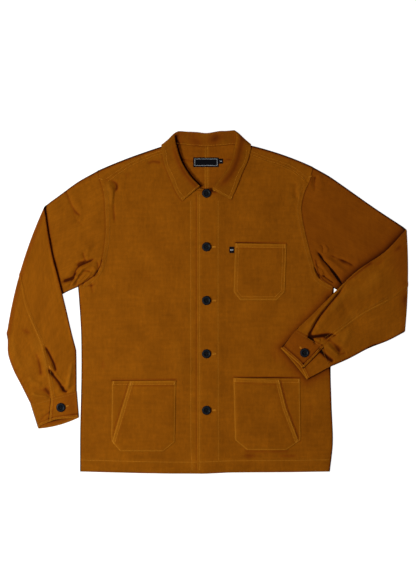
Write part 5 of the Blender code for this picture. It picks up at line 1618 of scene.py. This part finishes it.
def buildCollar():
    points, _, along, across, faces = collarGrid()
    rowCount, count = across.shape
    fromEdge = across[:, -1:] - across
    fromRoll = across - across[:, collar["standFaces"]][:, None]
    # the roll, the edges and the leaf tips rubbed paler; painted shade in a band on the wearer's left fall,
    # beside the wearer's right roll, at the stand's end on the wearer's right, over the stand in uneven
    # patches, and along the top of the collar at the back
    wearAndShade = 0.3 * bell(fromRoll, 2.2) + 0.2 * bell(fromEdge, 2.5)
    wearAndShade += 0.15 * bell(fromEdge - 4.2, 3)
    x, y = points[:, :, 0], points[:, :, 1]
    onFall = smooth(fromRoll / 3)
    wearAndShade -= 0.46 * onFall * smooth(x / 8) * bell(fromRoll - 13, 8) * smooth((y - 258) / 24)
    wearAndShade -= 0.4 * onFall * smooth(-x / 8) * bell(fromRoll - 7, 5) * smooth((374 - y) / 40)
    wearAndShade -= 0.8 * (1 - onFall) * bell(x + 74, 9) * smooth((390 - y) / 10)
    patches = waviness(np.column_stack([x.ravel(), y.ravel()]), 41, 30, 1).reshape(x.shape)
    wearAndShade -= (1 - onFall) * (0.22 + 0.14 * patches)
    wearAndShade -= 0.6 * smooth((y - 384) / 4) * onFall
    ends = np.minimum(np.arange(rowCount), np.arange(rowCount)[::-1])[:, None] * 3.0
    wearAndShade += 0.4 * bell(ends, 3)
    unrolled = np.column_stack([np.repeat(along, count), across.ravel()])
    return clothPiece("collarTwill", "collar", points.reshape(-1, 3), faces, unrolled, wearAndShade.ravel(),
                      cloth["doubleWall"], twillAcross)


pieces["collar"] = buildCollar()
print("collar made")


# pockets, tab and labels

pockets = {
    "chest": ((66, 136), (184, 134), (180, 24), (161, 5), (77, 5), (62, 24)),
    "tab": ((52.5, 128), (63.5, 128), (63.5, 113.5), (52.5, 113.5)),
    "right": ((-217, -180), (-70, -179), (-72.5, -320), (-99, -342), (-198, -342), (-219, -318)),
    "rightSlant": ((-175.5, -180), (-70, -179), (-72.5, -320), (-99, -342), (-198, -342), (-217.5, -319.7)),
    "left": ((61.5, -172.5), (214.5, -175), (216.5, -316), (183, -339), (93, -339), (65, -316)),
    "leftSlant": ((61.5, -172.5), (167, -177), (182.5, -241), (212, -319), (183, -339), (93, -339),
                  (65, -316)),
    "slants": {"right": ((-217.5, -319.7), (-175.5, -180)),
               "left": ((167, -177), (182.5, -241), (212, -319))},
    "neckLabel": ((-30.5, 333), (28, 333), (28, 311), (-30.5, 311)),
    "sizeTag": ((28.4, 330), (37.5, 330), (37.5, 318.5), (28.4, 318.5)),
    "step": 3.2,
    "rim": 0.9,  # drop of the folded edge
    "mouthBand": 8.0,
    "mouthLift": 1.6,
}


def patchRise(plies, thickness):
    return cloth["wall"] / 2 + (plies - 1) * cloth["wall"] + plies * cloth["seam"] + thickness / 2


def pocketHeight(points, outer, outline, host, plies, mouth=True):
    # the host's surface moved out, with a doubled mouth that stands slightly open
    rise = patchRise(plies, cloth["wall"])
    outline = np.asarray(outline, float)
    closed = np.vstack([outline, outline[:1]])
    fromEdge = lineDistance(points, closed)
    z = host(points) + rise
    if mouth:
        top = outline[:2]
        fromTop = lineDistance(points, top)
        middle = np.clip(1 - np.abs((points[:, 0] - top[:, 0].mean()) / (np.ptp(top[:, 0]) / 2)), 0, 1)
        z += pockets["mouthLift"] * smooth(middle * 2) * bell(fromTop, 16)
        z += 0.35 * (1 - smooth((fromTop - pockets["mouthBand"]) / 2))
    z += 0.5 * smooth(fromEdge / 22) * (1 + waviness(points, 21 + plies, 46, 0.5))
    # sewn down round the sides and the bottom
    sewn = np.vstack([outer[1:], outer[:1]])
    return z - (0.2 + 1.5 * (plies - 1)) * bell(lineDistance(points, sewn), 4.5)


def buildPatch(name, outline, host, plies, nodeName, material, thickness, lines=(), mouth=False, step=None,
               outer=None):
    step = step or pockets["step"]
    edge = subdivided(inset(outline, thickness / 2), step * 0.8)
    points, faces = filled(edge, step, grooveRows(lines))
    if material is twill:
        z = pocketHeight(points, outer or outline, outline, host, plies, mouth)
        addAlong(z, points, lines, -stitching["sunk"], 1.5, 6)
    else:
        z = host(points) + patchRise(plies, thickness)
    wearAndShade = 0.6 * edgeBand(points, np.vstack([edge, edge[:1]]), 3.0)
    addAlong(wearAndShade, points, lines, 0.12, 3, 10)
    # painted shadow lines on the backing; the mouth's doubled band and the slant's band paler, each with
    # painted shade in a line beyond it
    if material is twill:
        for line, reach, strength in shadowLines["right" if outline[0][0] < 0 else "left"]:
            wearAndShade -= strength * bell(lineDistance(points, line), reach) * (plies == 1 and not mouth)
        fromMouth = lineDistance(points, outline[:2])
        wearAndShade += (0.2 * (1 - smooth((fromMouth - 8) / 2)) - 0.25 * bell(fromMouth - 11, 1.8)) * mouth
        if outer:
            slant = pockets["slants"]["right" if outline[0][0] < 0 else "left"]
            wearAndShade += 0.25 * (1 - smooth((lineDistance(points, slant) - 8) / 2))
            wearAndShade -= 0.22 * bell(lineDistance(points, slant) - 11, 1.6)
    return clothPiece(name, nodeName, np.column_stack([points, z]), faces, points, wearAndShade, thickness, material,
                      "cotton_twill" if material is twill else "label_weave")


def pocketStitches(outline, rows=(2.0, 8.4), top=8.4):
    # rows of stitches down the sides and round the bottom, and one row across the mouth
    outline = np.asarray(outline, float)
    found = []
    for row in rows:
        ring = inset(outline, row)
        line = np.vstack([ring[1:], ring[:1]])
        line[0] += (outline[1] - ring[1]) * (0, 0.7)
        line[-1] += (outline[0] - ring[0]) * (0, 0.7)
        found.append(evenly(line, 3.0))
    ring = inset(outline, top)
    found.append(evenly(np.array((ring[0] + (-top * 0.7, 0), ring[1] + (top * 0.7, 0))), 3.0))
    return found


def rightFront(points):
    return frontHeight(points, "right")


def leftFront(points):
    return frontHeight(points, "left")


def slantStitches(name):
    # two rows inside the slanted hand opening
    line = evenly(np.array(pockets["slants"][name], float), 3.0)
    return [offsetLine(line, -away)[1:-1] for away in (2.0, 7.5)]


stitchLines = {
    "chest": pocketStitches(pockets["chest"]),
    "right": pocketStitches(pockets["right"], (2.0,)),
    "left": pocketStitches(pockets["left"], (2.0,)),
    "rightSlant": slantStitches("right"),
    "leftSlant": slantStitches("left"),
}
pieces["chestPocket"] = buildPatch("chestPocketTwill", pockets["chest"], leftFront, 1, "chest_pocket", twill,
                                   cloth["wall"], stitchLines["chest"], True)
pieces["pocketTab"] = buildPatch("pocketTabWeave", pockets["tab"], leftFront, 1, "pocket_tab", tabWeave,
                                 cloth["labelWall"], step=1.5)
for sideName, host in (("right", rightFront), ("left", leftFront)):
    pieces[f"backing{sideName}"] = buildPatch(
        f"pocket{sideName.title()}BackingTwill", pockets[sideName], host, 1, f"pocket_{sideName}_backing",
        twill,
        cloth["wall"], (), False)
    pieces[f"pocket{sideName}"] = buildPatch(
        f"pocket{sideName.title()}FrontTwill", pockets[f"{sideName}Slant"], host, 2,
        f"pocket_{sideName}_front", twill,
        cloth["wall"], stitchLines[f"{sideName}Slant"], True, outer=pockets[sideName])
pieces["neckLabel"] = buildPatch("neckLabelWeave", pockets["neckLabel"], backHeight, 1, "neck_label",
                                 neckWeave,
                                 cloth["labelWall"], step=2.0)
pieces["sizeTag"] = buildPatch("sizeTagWeave", pockets["sizeTag"], backHeight, 1, "size_tag", tagWeave,
                               cloth["labelWall"], step=1.5)
print("pockets and labels made")


# buttons

button = {
    "rows": (250.5, 127.7, 4.6, -117.5, -247.0),
    "cuffs": {"right": (-334.0, -240.5), "left": (224.5, -115.0)},
    "segments": 48,
    "profile": ((0.0, 0.0), (7.0, 0.0), (9.4, 0.45), (10.3, 1.3), (10.5, 2.0), (10.1, 2.65), (9.2, 3.15),
                (8.2, 3.5), (7.3, 3.6), (6.5, 3.4), (5.7, 2.8), (4.8, 2.3), (0.0, 2.05)),
    "rim": (5.4, 9.0),  # the polished part, glossier and painted paler as a highlight, as radii
    "holeRadius": 0.95,
    "holePitch": 1.75,
    "holeSides": 14,
    "cutHeights": (-2, 6),
    "strandRadius": 0.2604,
    "strandSides": 6,
    "strandPoints": 9,
    "strands": (-0.38, 0.0, 0.38),  # beside each other in a bar of thread
    "strandRise": (0.15, 0.75, 0.2),  # of a bar's ends, of its arch, and how much less beside the middle
    "strandStart": 0.3,  # height at which they leave the holes
}


def holeCutter(x, y):
    sides, radius = button["holeSides"], button["holeRadius"]
    angles = np.arange(sides) * math.tau / sides
    circle = [(x + radius * math.cos(a), y + radius * math.sin(a)) for a in angles]
    points = [(*place, z) for z in button["cutHeights"] for place in circle]
    wall = [(k, (k + 1) % sides, sides + (k + 1) % sides, sides + k) for k in range(sides)]
    ends = [tuple(range(sides - 1, -1, -1)), tuple(range(sides, 2 * sides))]
    return meshObject("holeCutter", points, wall + ends, resin)


def buttonBody():
    # turned profile with four holes cut through it
    count = button["segments"]
    angles = np.arange(count) * math.tau / count
    profile = button["profile"]
    rings = [[(r * math.cos(a), r * math.sin(a), h) for a in angles] for r, h in profile[1:-1]]
    points = [p for ring in rings for p in ring] + [(0, 0, profile[0][1]), (0, 0, profile[-1][1])]
    low, high = len(points) - 2, len(points) - 1
    faces = []
    for k in range(count):
        after = (k + 1) % count
        faces.append((after, k, low))
        faces.append(((len(rings) - 1) * count + k, (len(rings) - 1) * count + after, high))
        for start in range(0, (len(rings) - 1) * count, count):
            faces.append((start + k, start + after, start + count + after, start + count + k))
    body = meshObject("buttonBlank", points, faces, resin)
    pitch = button["holePitch"]
    cutters = [holeCutter(sx * pitch, sy * pitch) for sx in (-1, 1) for sy in (-1, 1)]
    for cutter in cutters:
        hole = body.modifiers.new("Hole", "BOOLEAN")
        hole.operation = "DIFFERENCE"
        hole.solver = "EXACT"
        hole.object = cutter
    mesh = bpy.data.meshes.new_from_object(body.evaluated_get(bpy.context.evaluated_depsgraph_get()))
    for spare in (body, *cutters):
        bpy.data.objects.remove(spare, do_unlink=True)
    radii = [math.hypot(vertex.co.x, vertex.co.y) / mm for vertex in mesh.vertices]
    low, high = button["rim"]
    rim = smooth((np.array(radii) - low + 0.5) / 1.0) * (1 - smooth((np.array(radii) - high + 0.5) / 1.0))
    mesh.attributes.new("rim", "FLOAT", "POINT").data.foreach_set("value", rim.astype(np.float32))
    return mesh


def tubeMesh(path, radius, segments):
    # a closed tube of millimetre points along a path
    path = np.asarray(path, float)
    run = np.gradient(path, axis=0)
    run /= np.linalg.norm(run, axis=1)[:, None]
    helper = np.array((0.0, 0.0, 1.0))
    points, faces = [], []
    for place, direction in zip(path, run):
        sideways = np.cross(direction, helper)
        if np.linalg.norm(sideways) < 1e-3:
            sideways = np.array((1.0, 0.0, 0.0))
        sideways /= np.linalg.norm(sideways)
        upwards = np.cross(sideways, direction)
        for k in range(segments):
            a = k * math.tau / segments
            points.append(place + radius * (math.cos(a) * sideways + math.sin(a) * upwards))
    for row in range(len(path) - 1):
        for k in range(segments):
            after = (k + 1) % segments
            faces.append((row * segments + k, row * segments + after, (row + 1) * segments + after,
                          (row + 1) * segments + k))
    faces.append(tuple(range(segments - 1, -1, -1)))
    faces.append(tuple(range((len(path) - 1) * segments, len(path) * segments)))
    return np.array(points), faces


def buttonThread(turn):
    # two bars of thread through the holes
    pitch, height = button["holePitch"], button["profile"][-1][1]
    ends, arch, beside = button["strandRise"]
    points, faces = [], []
    for middle in (-pitch, pitch):
        for shift in button["strands"]:
            xs = np.linspace(-pitch, pitch, button["strandPoints"])
            y = middle + shift
            z = height + ends + arch * np.sqrt(np.clip(1 - (xs / pitch) ** 2, 0, 1)) - beside * abs(shift)
            path = np.column_stack([xs, np.full(len(xs), y), z])
            start, end = ((x, y, button["strandStart"]) for x in (-pitch, pitch))
            more, moreFaces = tubeMesh(np.vstack([start, path, end]), button["strandRadius"],
                                       button["strandSides"])
            faces += [tuple(v + sum(len(p) for p in points) for v in face) for face in moreFaces]
            points.append(more)
    points = np.vstack(points)
    c, s = math.cos(turn), math.sin(turn)
    points[:, :2] = points[:, :2] @ np.array(((c, s), (-s, c)))
    return points, faces


blank = buttonBody()


def buildButton(name, nodeName, x, y, z, turn):
    mesh = blank.copy()
    mesh.name = name
    body = addObject(name, mesh)
    count = len(mesh.vertices)
    places = np.zeros(count * 3, np.float32)
    mesh.vertices.foreach_get("co", places)
    places = places.reshape(-1, 3)
    c, s = math.cos(turn), math.sin(turn)
    places[:, :2] = places[:, :2] @ np.array(((c, s), (-s, c)), np.float32)
    places += np.array((x, y, z), np.float32) * mm
    mesh.vertices.foreach_set("co", places.ravel())
    mesh.shade_smooth()
    mesh.set_sharp_from_angle(angle=math.radians(42))
    mesh.update()
    finishPiece(body, "button_resin", nodeName)
    points, faces = buttonThread(turn)
    sewn = meshObject(f"{name}Thread", points + (x, y, z), faces, buttonThreadLook)
    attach(sewn, "root")
    return body


def cuffSeat(name, place):
    flat = elbowFold(name).unfold(np.array([place], float))
    z = laySleeve(name, flat, np.array([layers["backZ"] - cuff["tabRaise"]]))[1][0]
    return z + cloth["doubleWall"] / 2 + 0.2


buttonThreadLook = spunThread("buttonThread", "#1C1D22")
for number, rowY in enumerate(button["rows"], 1):
    seat = leftFront(np.array([(0.0, rowY)]))[0] + cloth["wall"] / 2 + 0.2
    buildButton(f"frontButton{number}", f"button_{number}", 0.0, rowY, seat,
                (0.3, 0.9, 0.1, 0.6, 1.2)[number - 1])
for sideName, place in button["cuffs"].items():
    buildButton(f"cuff{sideName.title()}Button", f"button_cuff_{sideName}", *place,
                cuffSeat(sideName, place), 0.5)
print("buttons made")


# topstitching, laid along lines on the finished cloth by geometry nodes

def stitchBead(name, radius, length):
    # one stitch: a short strand with pinched ends, lying along X
    profile = ((-0.5, 0.35), (-0.36, 0.85), (0.0, 1.0), (0.36, 0.85), (0.5, 0.35))
    count = 6
    points = [(x * length, radius * r * math.cos(k * math.tau / count),
               radius * r * math.sin(k * math.tau / count))
              for x, r in profile for k in range(count)]
    faces = [(row * count + k, (row + 1) * count + k, (row + 1) * count + (k + 1) % count,
              row * count + (k + 1) % count)
             for row in range(len(profile) - 1) for k in range(count)]
    faces += [tuple(range(count)),
              tuple(range((len(profile)) * count - 1, (len(profile) - 1) * count - 1, -1))]
    bead = meshObject(name, points, faces, thread)
    bead.data.flip_normals()
    return bead


def stitchTree():
    tree = bpy.data.node_groups.new("stitchRun", "GeometryNodeTree")
    for name, kind in (("Geometry", "Geometry"), ("Pitch", "Float"), ("Bead", "Object"),
                       ("Thread", "Material")):
        tree.interface.new_socket(name, in_out="INPUT", socket_type=f"NodeSocket{kind}")
    tree.interface.new_socket("Geometry", in_out="OUTPUT", socket_type="NodeSocketGeometry")
    given = addNode(tree, "NodeGroupInput")
    curve = addNode(tree, "GeometryNodeMeshToCurve", {"Mesh": given.outputs["Geometry"]})
    spaced = addNode(tree, "GeometryNodeResampleCurve", {
        "Curve": curve.outputs["Curve"], "Length": given.outputs["Pitch"]}, mode="LENGTH")
    tangent = addNode(tree, "GeometryNodeInputTangent")
    turned = addNode(tree, "FunctionNodeAlignRotationToVector", {
        "Vector": tangent.outputs["Tangent"]}, axis="X")
    bead = addNode(tree, "GeometryNodeObjectInfo", {"Object": given.outputs["Bead"]})
    uneven = addNode(tree, "FunctionNodeRandomValue", {2: 0.88, 3: 1.1, "Seed": 7}, data_type="FLOAT")
    laid = addNode(tree, "GeometryNodeInstanceOnPoints", {
        "Points": spaced.outputs["Curve"], "Instance": bead.outputs["Geometry"],
        "Rotation": turned.outputs["Rotation"], "Scale": uneven.outputs[1]})
    real = addNode(tree, "GeometryNodeRealizeInstances", {"Geometry": laid.outputs["Instances"]})
    dressed = addNode(tree, "GeometryNodeSetMaterial", {
        "Geometry": real.outputs["Geometry"], "Material": given.outputs["Thread"]})
    addNode(tree, "NodeGroupOutput", {"Geometry": dressed.outputs["Geometry"]})
    return tree


stitchRun = stitchTree()
bead = stitchBead("stitchBead", stitching["radius"], stitching["length"])
bead.hide_render = True


def buildStitches(name, lines, pitch=None, stitch=None, colour=None):
    # lines of 3D points, in millimetres, sewn with beads of thread
    points = np.vstack(lines)
    edges, done = [], 0
    for line in lines:
        edges += [(done + k, done + k + 1) for k in range(len(line) - 1)]
        done += len(line)
    mesh = bpy.data.meshes.new(name)
    mesh.from_pydata((points * mm).tolist(), edges, [])
    run = addObject(name, mesh)
    sewing = run.modifiers.new("Stitches", "NODES")
    sewing.node_group = stitchRun
    sockets = {item.name: item.identifier for item in stitchRun.interface.items_tree
               if item.item_type == "SOCKET" and item.in_out == "INPUT"}
    sewing[sockets["Pitch"]] = (pitch or stitching["pitch"]) * mm
    sewing[sockets["Bead"]] = stitch or bead
    sewing[sockets["Thread"]] = colour or thread
    bpy.context.view_layer.update()
    made = bpy.data.meshes.new_from_object(run.evaluated_get(bpy.context.evaluated_depsgraph_get()))
    made.shade_smooth()
    bpy.data.objects.remove(run, do_unlink=True)
    sewn = addObject(name, made)
    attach(sewn, "root")
    return sewn


def onSurface(line, height, rise):
    line = np.asarray(line, float)
    return np.column_stack([line, height(line) + rise])


def sewFront(name):
    rise = cloth["wall"] / 2 + stitching["raise"]
    return [onSurface(line, lambda p: frontHeight(p, name), rise) for line in frontStitches(name)]


for sideName in sides:
    firstArm, firstShoulder, secondArm, *others = sewFront(sideName)
    buildStitches(f"front{sideName.title()}Stitches", [firstShoulder, *others])
    buildStitches(f"armhole{sideName.title()}Stitches", [firstArm, secondArm], colour=quietThread)


lift = cloth["wall"] / 2 + stitching["raise"]
chest = pockets["chest"]
buildStitches("chestPocketStitches", [
    onSurface(line, lambda p: pocketHeight(p, chest, chest, leftFront, 1, True), lift - stitching["sunk"])
    for line in stitchLines["chest"]])
for sideName, host in (("right", rightFront), ("left", leftFront)):
    slantKey = f"{sideName}Slant"
    rows = []
    for line in stitchLines[sideName] + stitchLines[slantKey]:
        inSlant = outsideDistance(line, np.array(pockets[slantKey], float)) < 0
        high = pocketHeight(line, pockets[sideName], pockets[slantKey], host, 2, True)
        low = pocketHeight(line, pockets[sideName], pockets[sideName], host, 1, False)
        z = np.where(inSlant, high, low) - stitching["sunkPocket"] + lift
        rows.append(np.column_stack([line, z]))
    buildStitches(f"pocket{sideName.title()}Stitches", rows)


def sleeveRun(name, share, outside, aside):
    # a row of stitches down a sleeve, at a share of its width and a distance beside it
    shape = sleeveShapes[name]
    flats, heights = [], []
    shown = len(shape["sections"]) - (16 if name == "left" else 0)
    fold = elbowFold(name)
    for k, ends in enumerate(shape["sections"][:shown]):
        if fold.split(ends.mean(axis=0)[None])[1][0] < fold.arc + 40:
            continue  # it lies below, or is hidden by the turn
        width = np.linalg.norm(ends[1] - ends[0])
        flat, z = sleevePlace(name, k, np.array([(share + aside / width, 0.0)]))
        flats.append(flat[0])
        heights.append(z[0] - outside)
    laid, z = laySleeve(name, np.array(flats), np.array(heights))
    return np.column_stack([laid, z])


def sewSleeve(name):
    outside = cloth["wall"] / 2 + stitching["raise"] + seams["bandRise"] - 0.2
    return [sleeveRun(name, sleeve["backSeam"], outside, -row) for row in seams["rows"]]


for sideName in sides:
    nearSeam, besideIt = sewSleeve(sideName)
    buildStitches(f"sleeve{sideName.title()}Stitches", [nearSeam])
    buildStitches(f"sleeve{sideName.title()}InnerStitches", [besideIt], colour=quietThread)


def sewCuff(name):
    # beside the cuff's seam and its end, on the upper end and on the part that shows beyond it
    outside = cloth["doubleWall"] / 2 + stitching["raise"]
    found = []
    for k in (1.6, cuff["steps"] - 1.8):
        low, share = math.floor(k), k % 1
        for shares, raised in ((np.linspace(0.05, tabEdge(name, k) - 0.035, 40), 1),
                               (np.linspace(tabEdge(name, k) + 0.03, 0.96, 26), 0)):
            places = np.column_stack([shares, np.zeros(len(shares))])
            flat = [cuffPlace(name, row, places, raised > 0)[0] for row in (low, low + 1)]
            flat = flat[0] * (1 - share) + flat[1] * share
            z = np.full(len(shares), layers["backZ"] - outside) - raised * cuffRaise(shares, k)
            laid, z = laySleeve(name, flat, z)
            found.append(np.column_stack([laid, z]))
    ends = []
    for k in range(2, cuff["steps"] - 1):
        flat, _ = cuffPlace(name, k, np.array([(tabEdge(name, k) - 0.035, 0.0)]), True)
        ends.append(flat[0])
    z = layers["backZ"] - outside - cuffRaise(np.ones(len(ends)), np.arange(2, cuff["steps"] - 1))
    laid, z = laySleeve(name, np.array(ends), z)
    found.append(np.column_stack([laid, z]))
    return found


for sideName in sides:
    seamTab, seamUnder, *others = sewCuff(sideName)
    buildStitches(f"cuff{sideName.title()}SeamStitches", [seamTab, seamUnder], colour=quietThread)
    buildStitches(f"cuff{sideName.title()}Stitches", others)


def sewCollar():
    # a row round the fall's edge where it shows, and one on the stand just above the neck seam
    points, outward, along, across, _ = collarGrid()
    half = cloth["doubleWall"] / 2 + stitching["raise"]
    surface = points + outward * half
    edgeRun = np.array([atLengths(surface[k], [across[k, -1] - 4.2])[0] for k in range(len(along))])
    neckRun = np.array([atLengths(surface[k], [2.2])[0] for k in range(len(along))])
    middle = len(along) // 2
    shown = edgeRun[:, 1] < 350
    ends = [surface[k, collar["standFaces"] + 4:-3] for k in (1, len(along) - 2)]
    front = np.flatnonzero(shown & (np.arange(len(along)) < middle))
    other = np.flatnonzero(shown & (np.arange(len(along)) > middle))
    inside = [k for k in range(len(along)) if neckRun[k][1] > 352]
    return [edgeRun[front], edgeRun[other], neckRun[inside], *ends]


buildStitches("collarStitches", sewCollar())


buildStitches("backStitches", [
    onSurface(line, lambda p: backHeight(p) + backBand(p, "left"), lift - stitching["sunk"])
    for line in backStitches("left")])

# buttonholes: a slit bound with thread, each bead laid across it
holes = {
    "pitch": 0.75,
    "front": (13.0, 20.5),
    "cuffs": {"right": ((-334.0, -240.5), (0.97, 0.2), (12.0, 16.5)),
              "left": ((224.5, -115.0), (-0.6, 0.8), (12.0, 16.0))},
}
crossBead = stitchBead("crossBead", 0.4, 2.2)
crossBead.data.transform(Matrix.Rotation(math.radians(90), 4, "Z"))
clothTrees = [BVHTree.FromObject(piece, bpy.context.evaluated_depsgraph_get()) for piece in pieces.values()]


def onTop(line, rise):
    # a line in the plan laid on top of the finished pieces
    hits = [[tree.ray_cast(Vector((x * mm, y * mm, 1.0)), Vector((0, 0, -1)))[0] for tree in clothTrees]
            for x, y in line]
    return np.array([(x, y, max(hit.z for hit in found if hit) / mm + rise)
                     for (x, y), found in zip(line, hits)])


def boundHole(start, heading, reach):
    # the plan of the beads: two rows on the sides of the slit, joined round its end
    heading = np.array(heading) / np.linalg.norm(heading)
    side = np.array((-heading[1], heading[0]))
    places = [(t, 1.0) for t in np.linspace(reach[0], reach[1], 10)]
    places += [(reach[1] + 1.0 * math.sin(a), math.cos(a)) for a in np.linspace(0, math.pi, 7)[1:-1]]
    places += [(t, -1.0) for t in np.linspace(reach[1], reach[0], 10)]
    return np.array([np.array(start) + heading * t + side * s for t, s in places])


bound = [onSurface(boundHole((0, y), (1, 0.0), holes["front"]), leftFront, cloth["wall"] / 2 + 0.1)
         for y in button["rows"][1:]]
bound += [onTop(boundHole(*hole), 0.1) for hole in holes["cuffs"].values()]
buildStitches("buttonholeBinding", bound, holes["pitch"], crossBead)

# bar tacks where the seams are strained: middle, heading in degrees, length
tacks = (
    ((-214, -320), 120, 9), ((-173.5, -186), 75, 9), ((-74, -184), 90, 7), ((-213, -184), 90, 7),
    ((207, -318), 60, 9), ((166, -183), 105, 9), ((66, -178), 90, 7), ((211, -180), 90, 7),
    ((180, 129), 90, 8), ((70, 130.5), 90, 8), ((-243, 284), 160, 8), ((238, 289), 20, 8),
    ((-360, -149), 110, 7),
    ((-57, 240), 60, 5), ((57, 242), 120, 5), ((17, 256.5), 20, 5),
)
bars = []
for middle, heading, length in tacks:
    run = np.array((math.cos(math.radians(heading)), math.sin(math.radians(heading)))) * length / 2
    bars.append(onTop(evenly(np.array((middle - run, middle + run)), 1.2), 0.15))
buildStitches("barTacks", bars, holes["pitch"], crossBead)
print("stitching made")


# stage, light and camera

stage = {
    "floor": 14.0,
    "camera": (0.00345, 0.02645, 3.0),
    "lens": 80.7,
    "glow": 0.93,
    "skyStrength": 0.13,
    # place, what it is aimed at, size, power, colour
    "lights": {
        "keySoftbox": ((-1.32, -0.2, 1.45), (0, 0, 0), 0.4, 34.5, "#F9FFF4"),
        "overheadSoftbox": ((0.0, 0.2, 3.4), (0, 0, 0), 2.6, 31.0, "#FFECE6"),
    },
}


def buildStage():
    half = stage["floor"] / 2
    mesh = bpy.data.meshes.new("paleFloor")
    corners = [(-half, -half, 0), (half, -half, 0), (half, half, 0), (-half, half, 0)]
    mesh.from_pydata(corners, [], [(0, 1, 2, 3)])
    floor = addObject("paleFloor", mesh)
    # opal acrylic light table: lit from below, it reads as clean white all round
    material, _, shader = newMaterial("opalAcrylicTable", "#8C8C8C", 0.9)
    shader.inputs["Specular IOR Level"].default_value = 0.1
    shader.inputs["Emission Color"].default_value = (1, 1, 1, 1)
    shader.inputs["Emission Strength"].default_value = stage["glow"]
    mesh.materials.append(material)


def areaLight(name, place, aim, size, power, colour):
    light = bpy.data.lights.new(name, "AREA")
    light.shape = "DISK"
    light.size = size
    light.energy = power
    light.color = linear(colour)[:3]
    lamp = addObject(name, light)
    lamp.location = place
    direction = np.subtract(aim, place)
    lamp.rotation_mode = "QUATERNION"
    lamp.rotation_quaternion = Vector(direction).to_track_quat("-Z", "Y")


buildStage()
for name, settings in stage["lights"].items():
    areaLight(name, *settings)
world = bpy.data.worlds.new("studio")
bpy.context.scene.world = world
world.use_nodes = True
world.node_tree.nodes["Background"].inputs["Color"].default_value = linear("#FFEFEA")
world.node_tree.nodes["Background"].inputs["Strength"].default_value = stage["skyStrength"]
bpy.context.scene.view_settings.view_transform = "Standard"

camera = addObject("camera", bpy.data.cameras.new("camera"))
camera.location = stage["camera"]
camera.data.lens = stage["lens"]
camera.data.sensor_width = 36.0
bpy.context.scene.camera = camera
for spare in (bead, crossBead):
    bpy.data.objects.remove(spare, do_unlink=True)
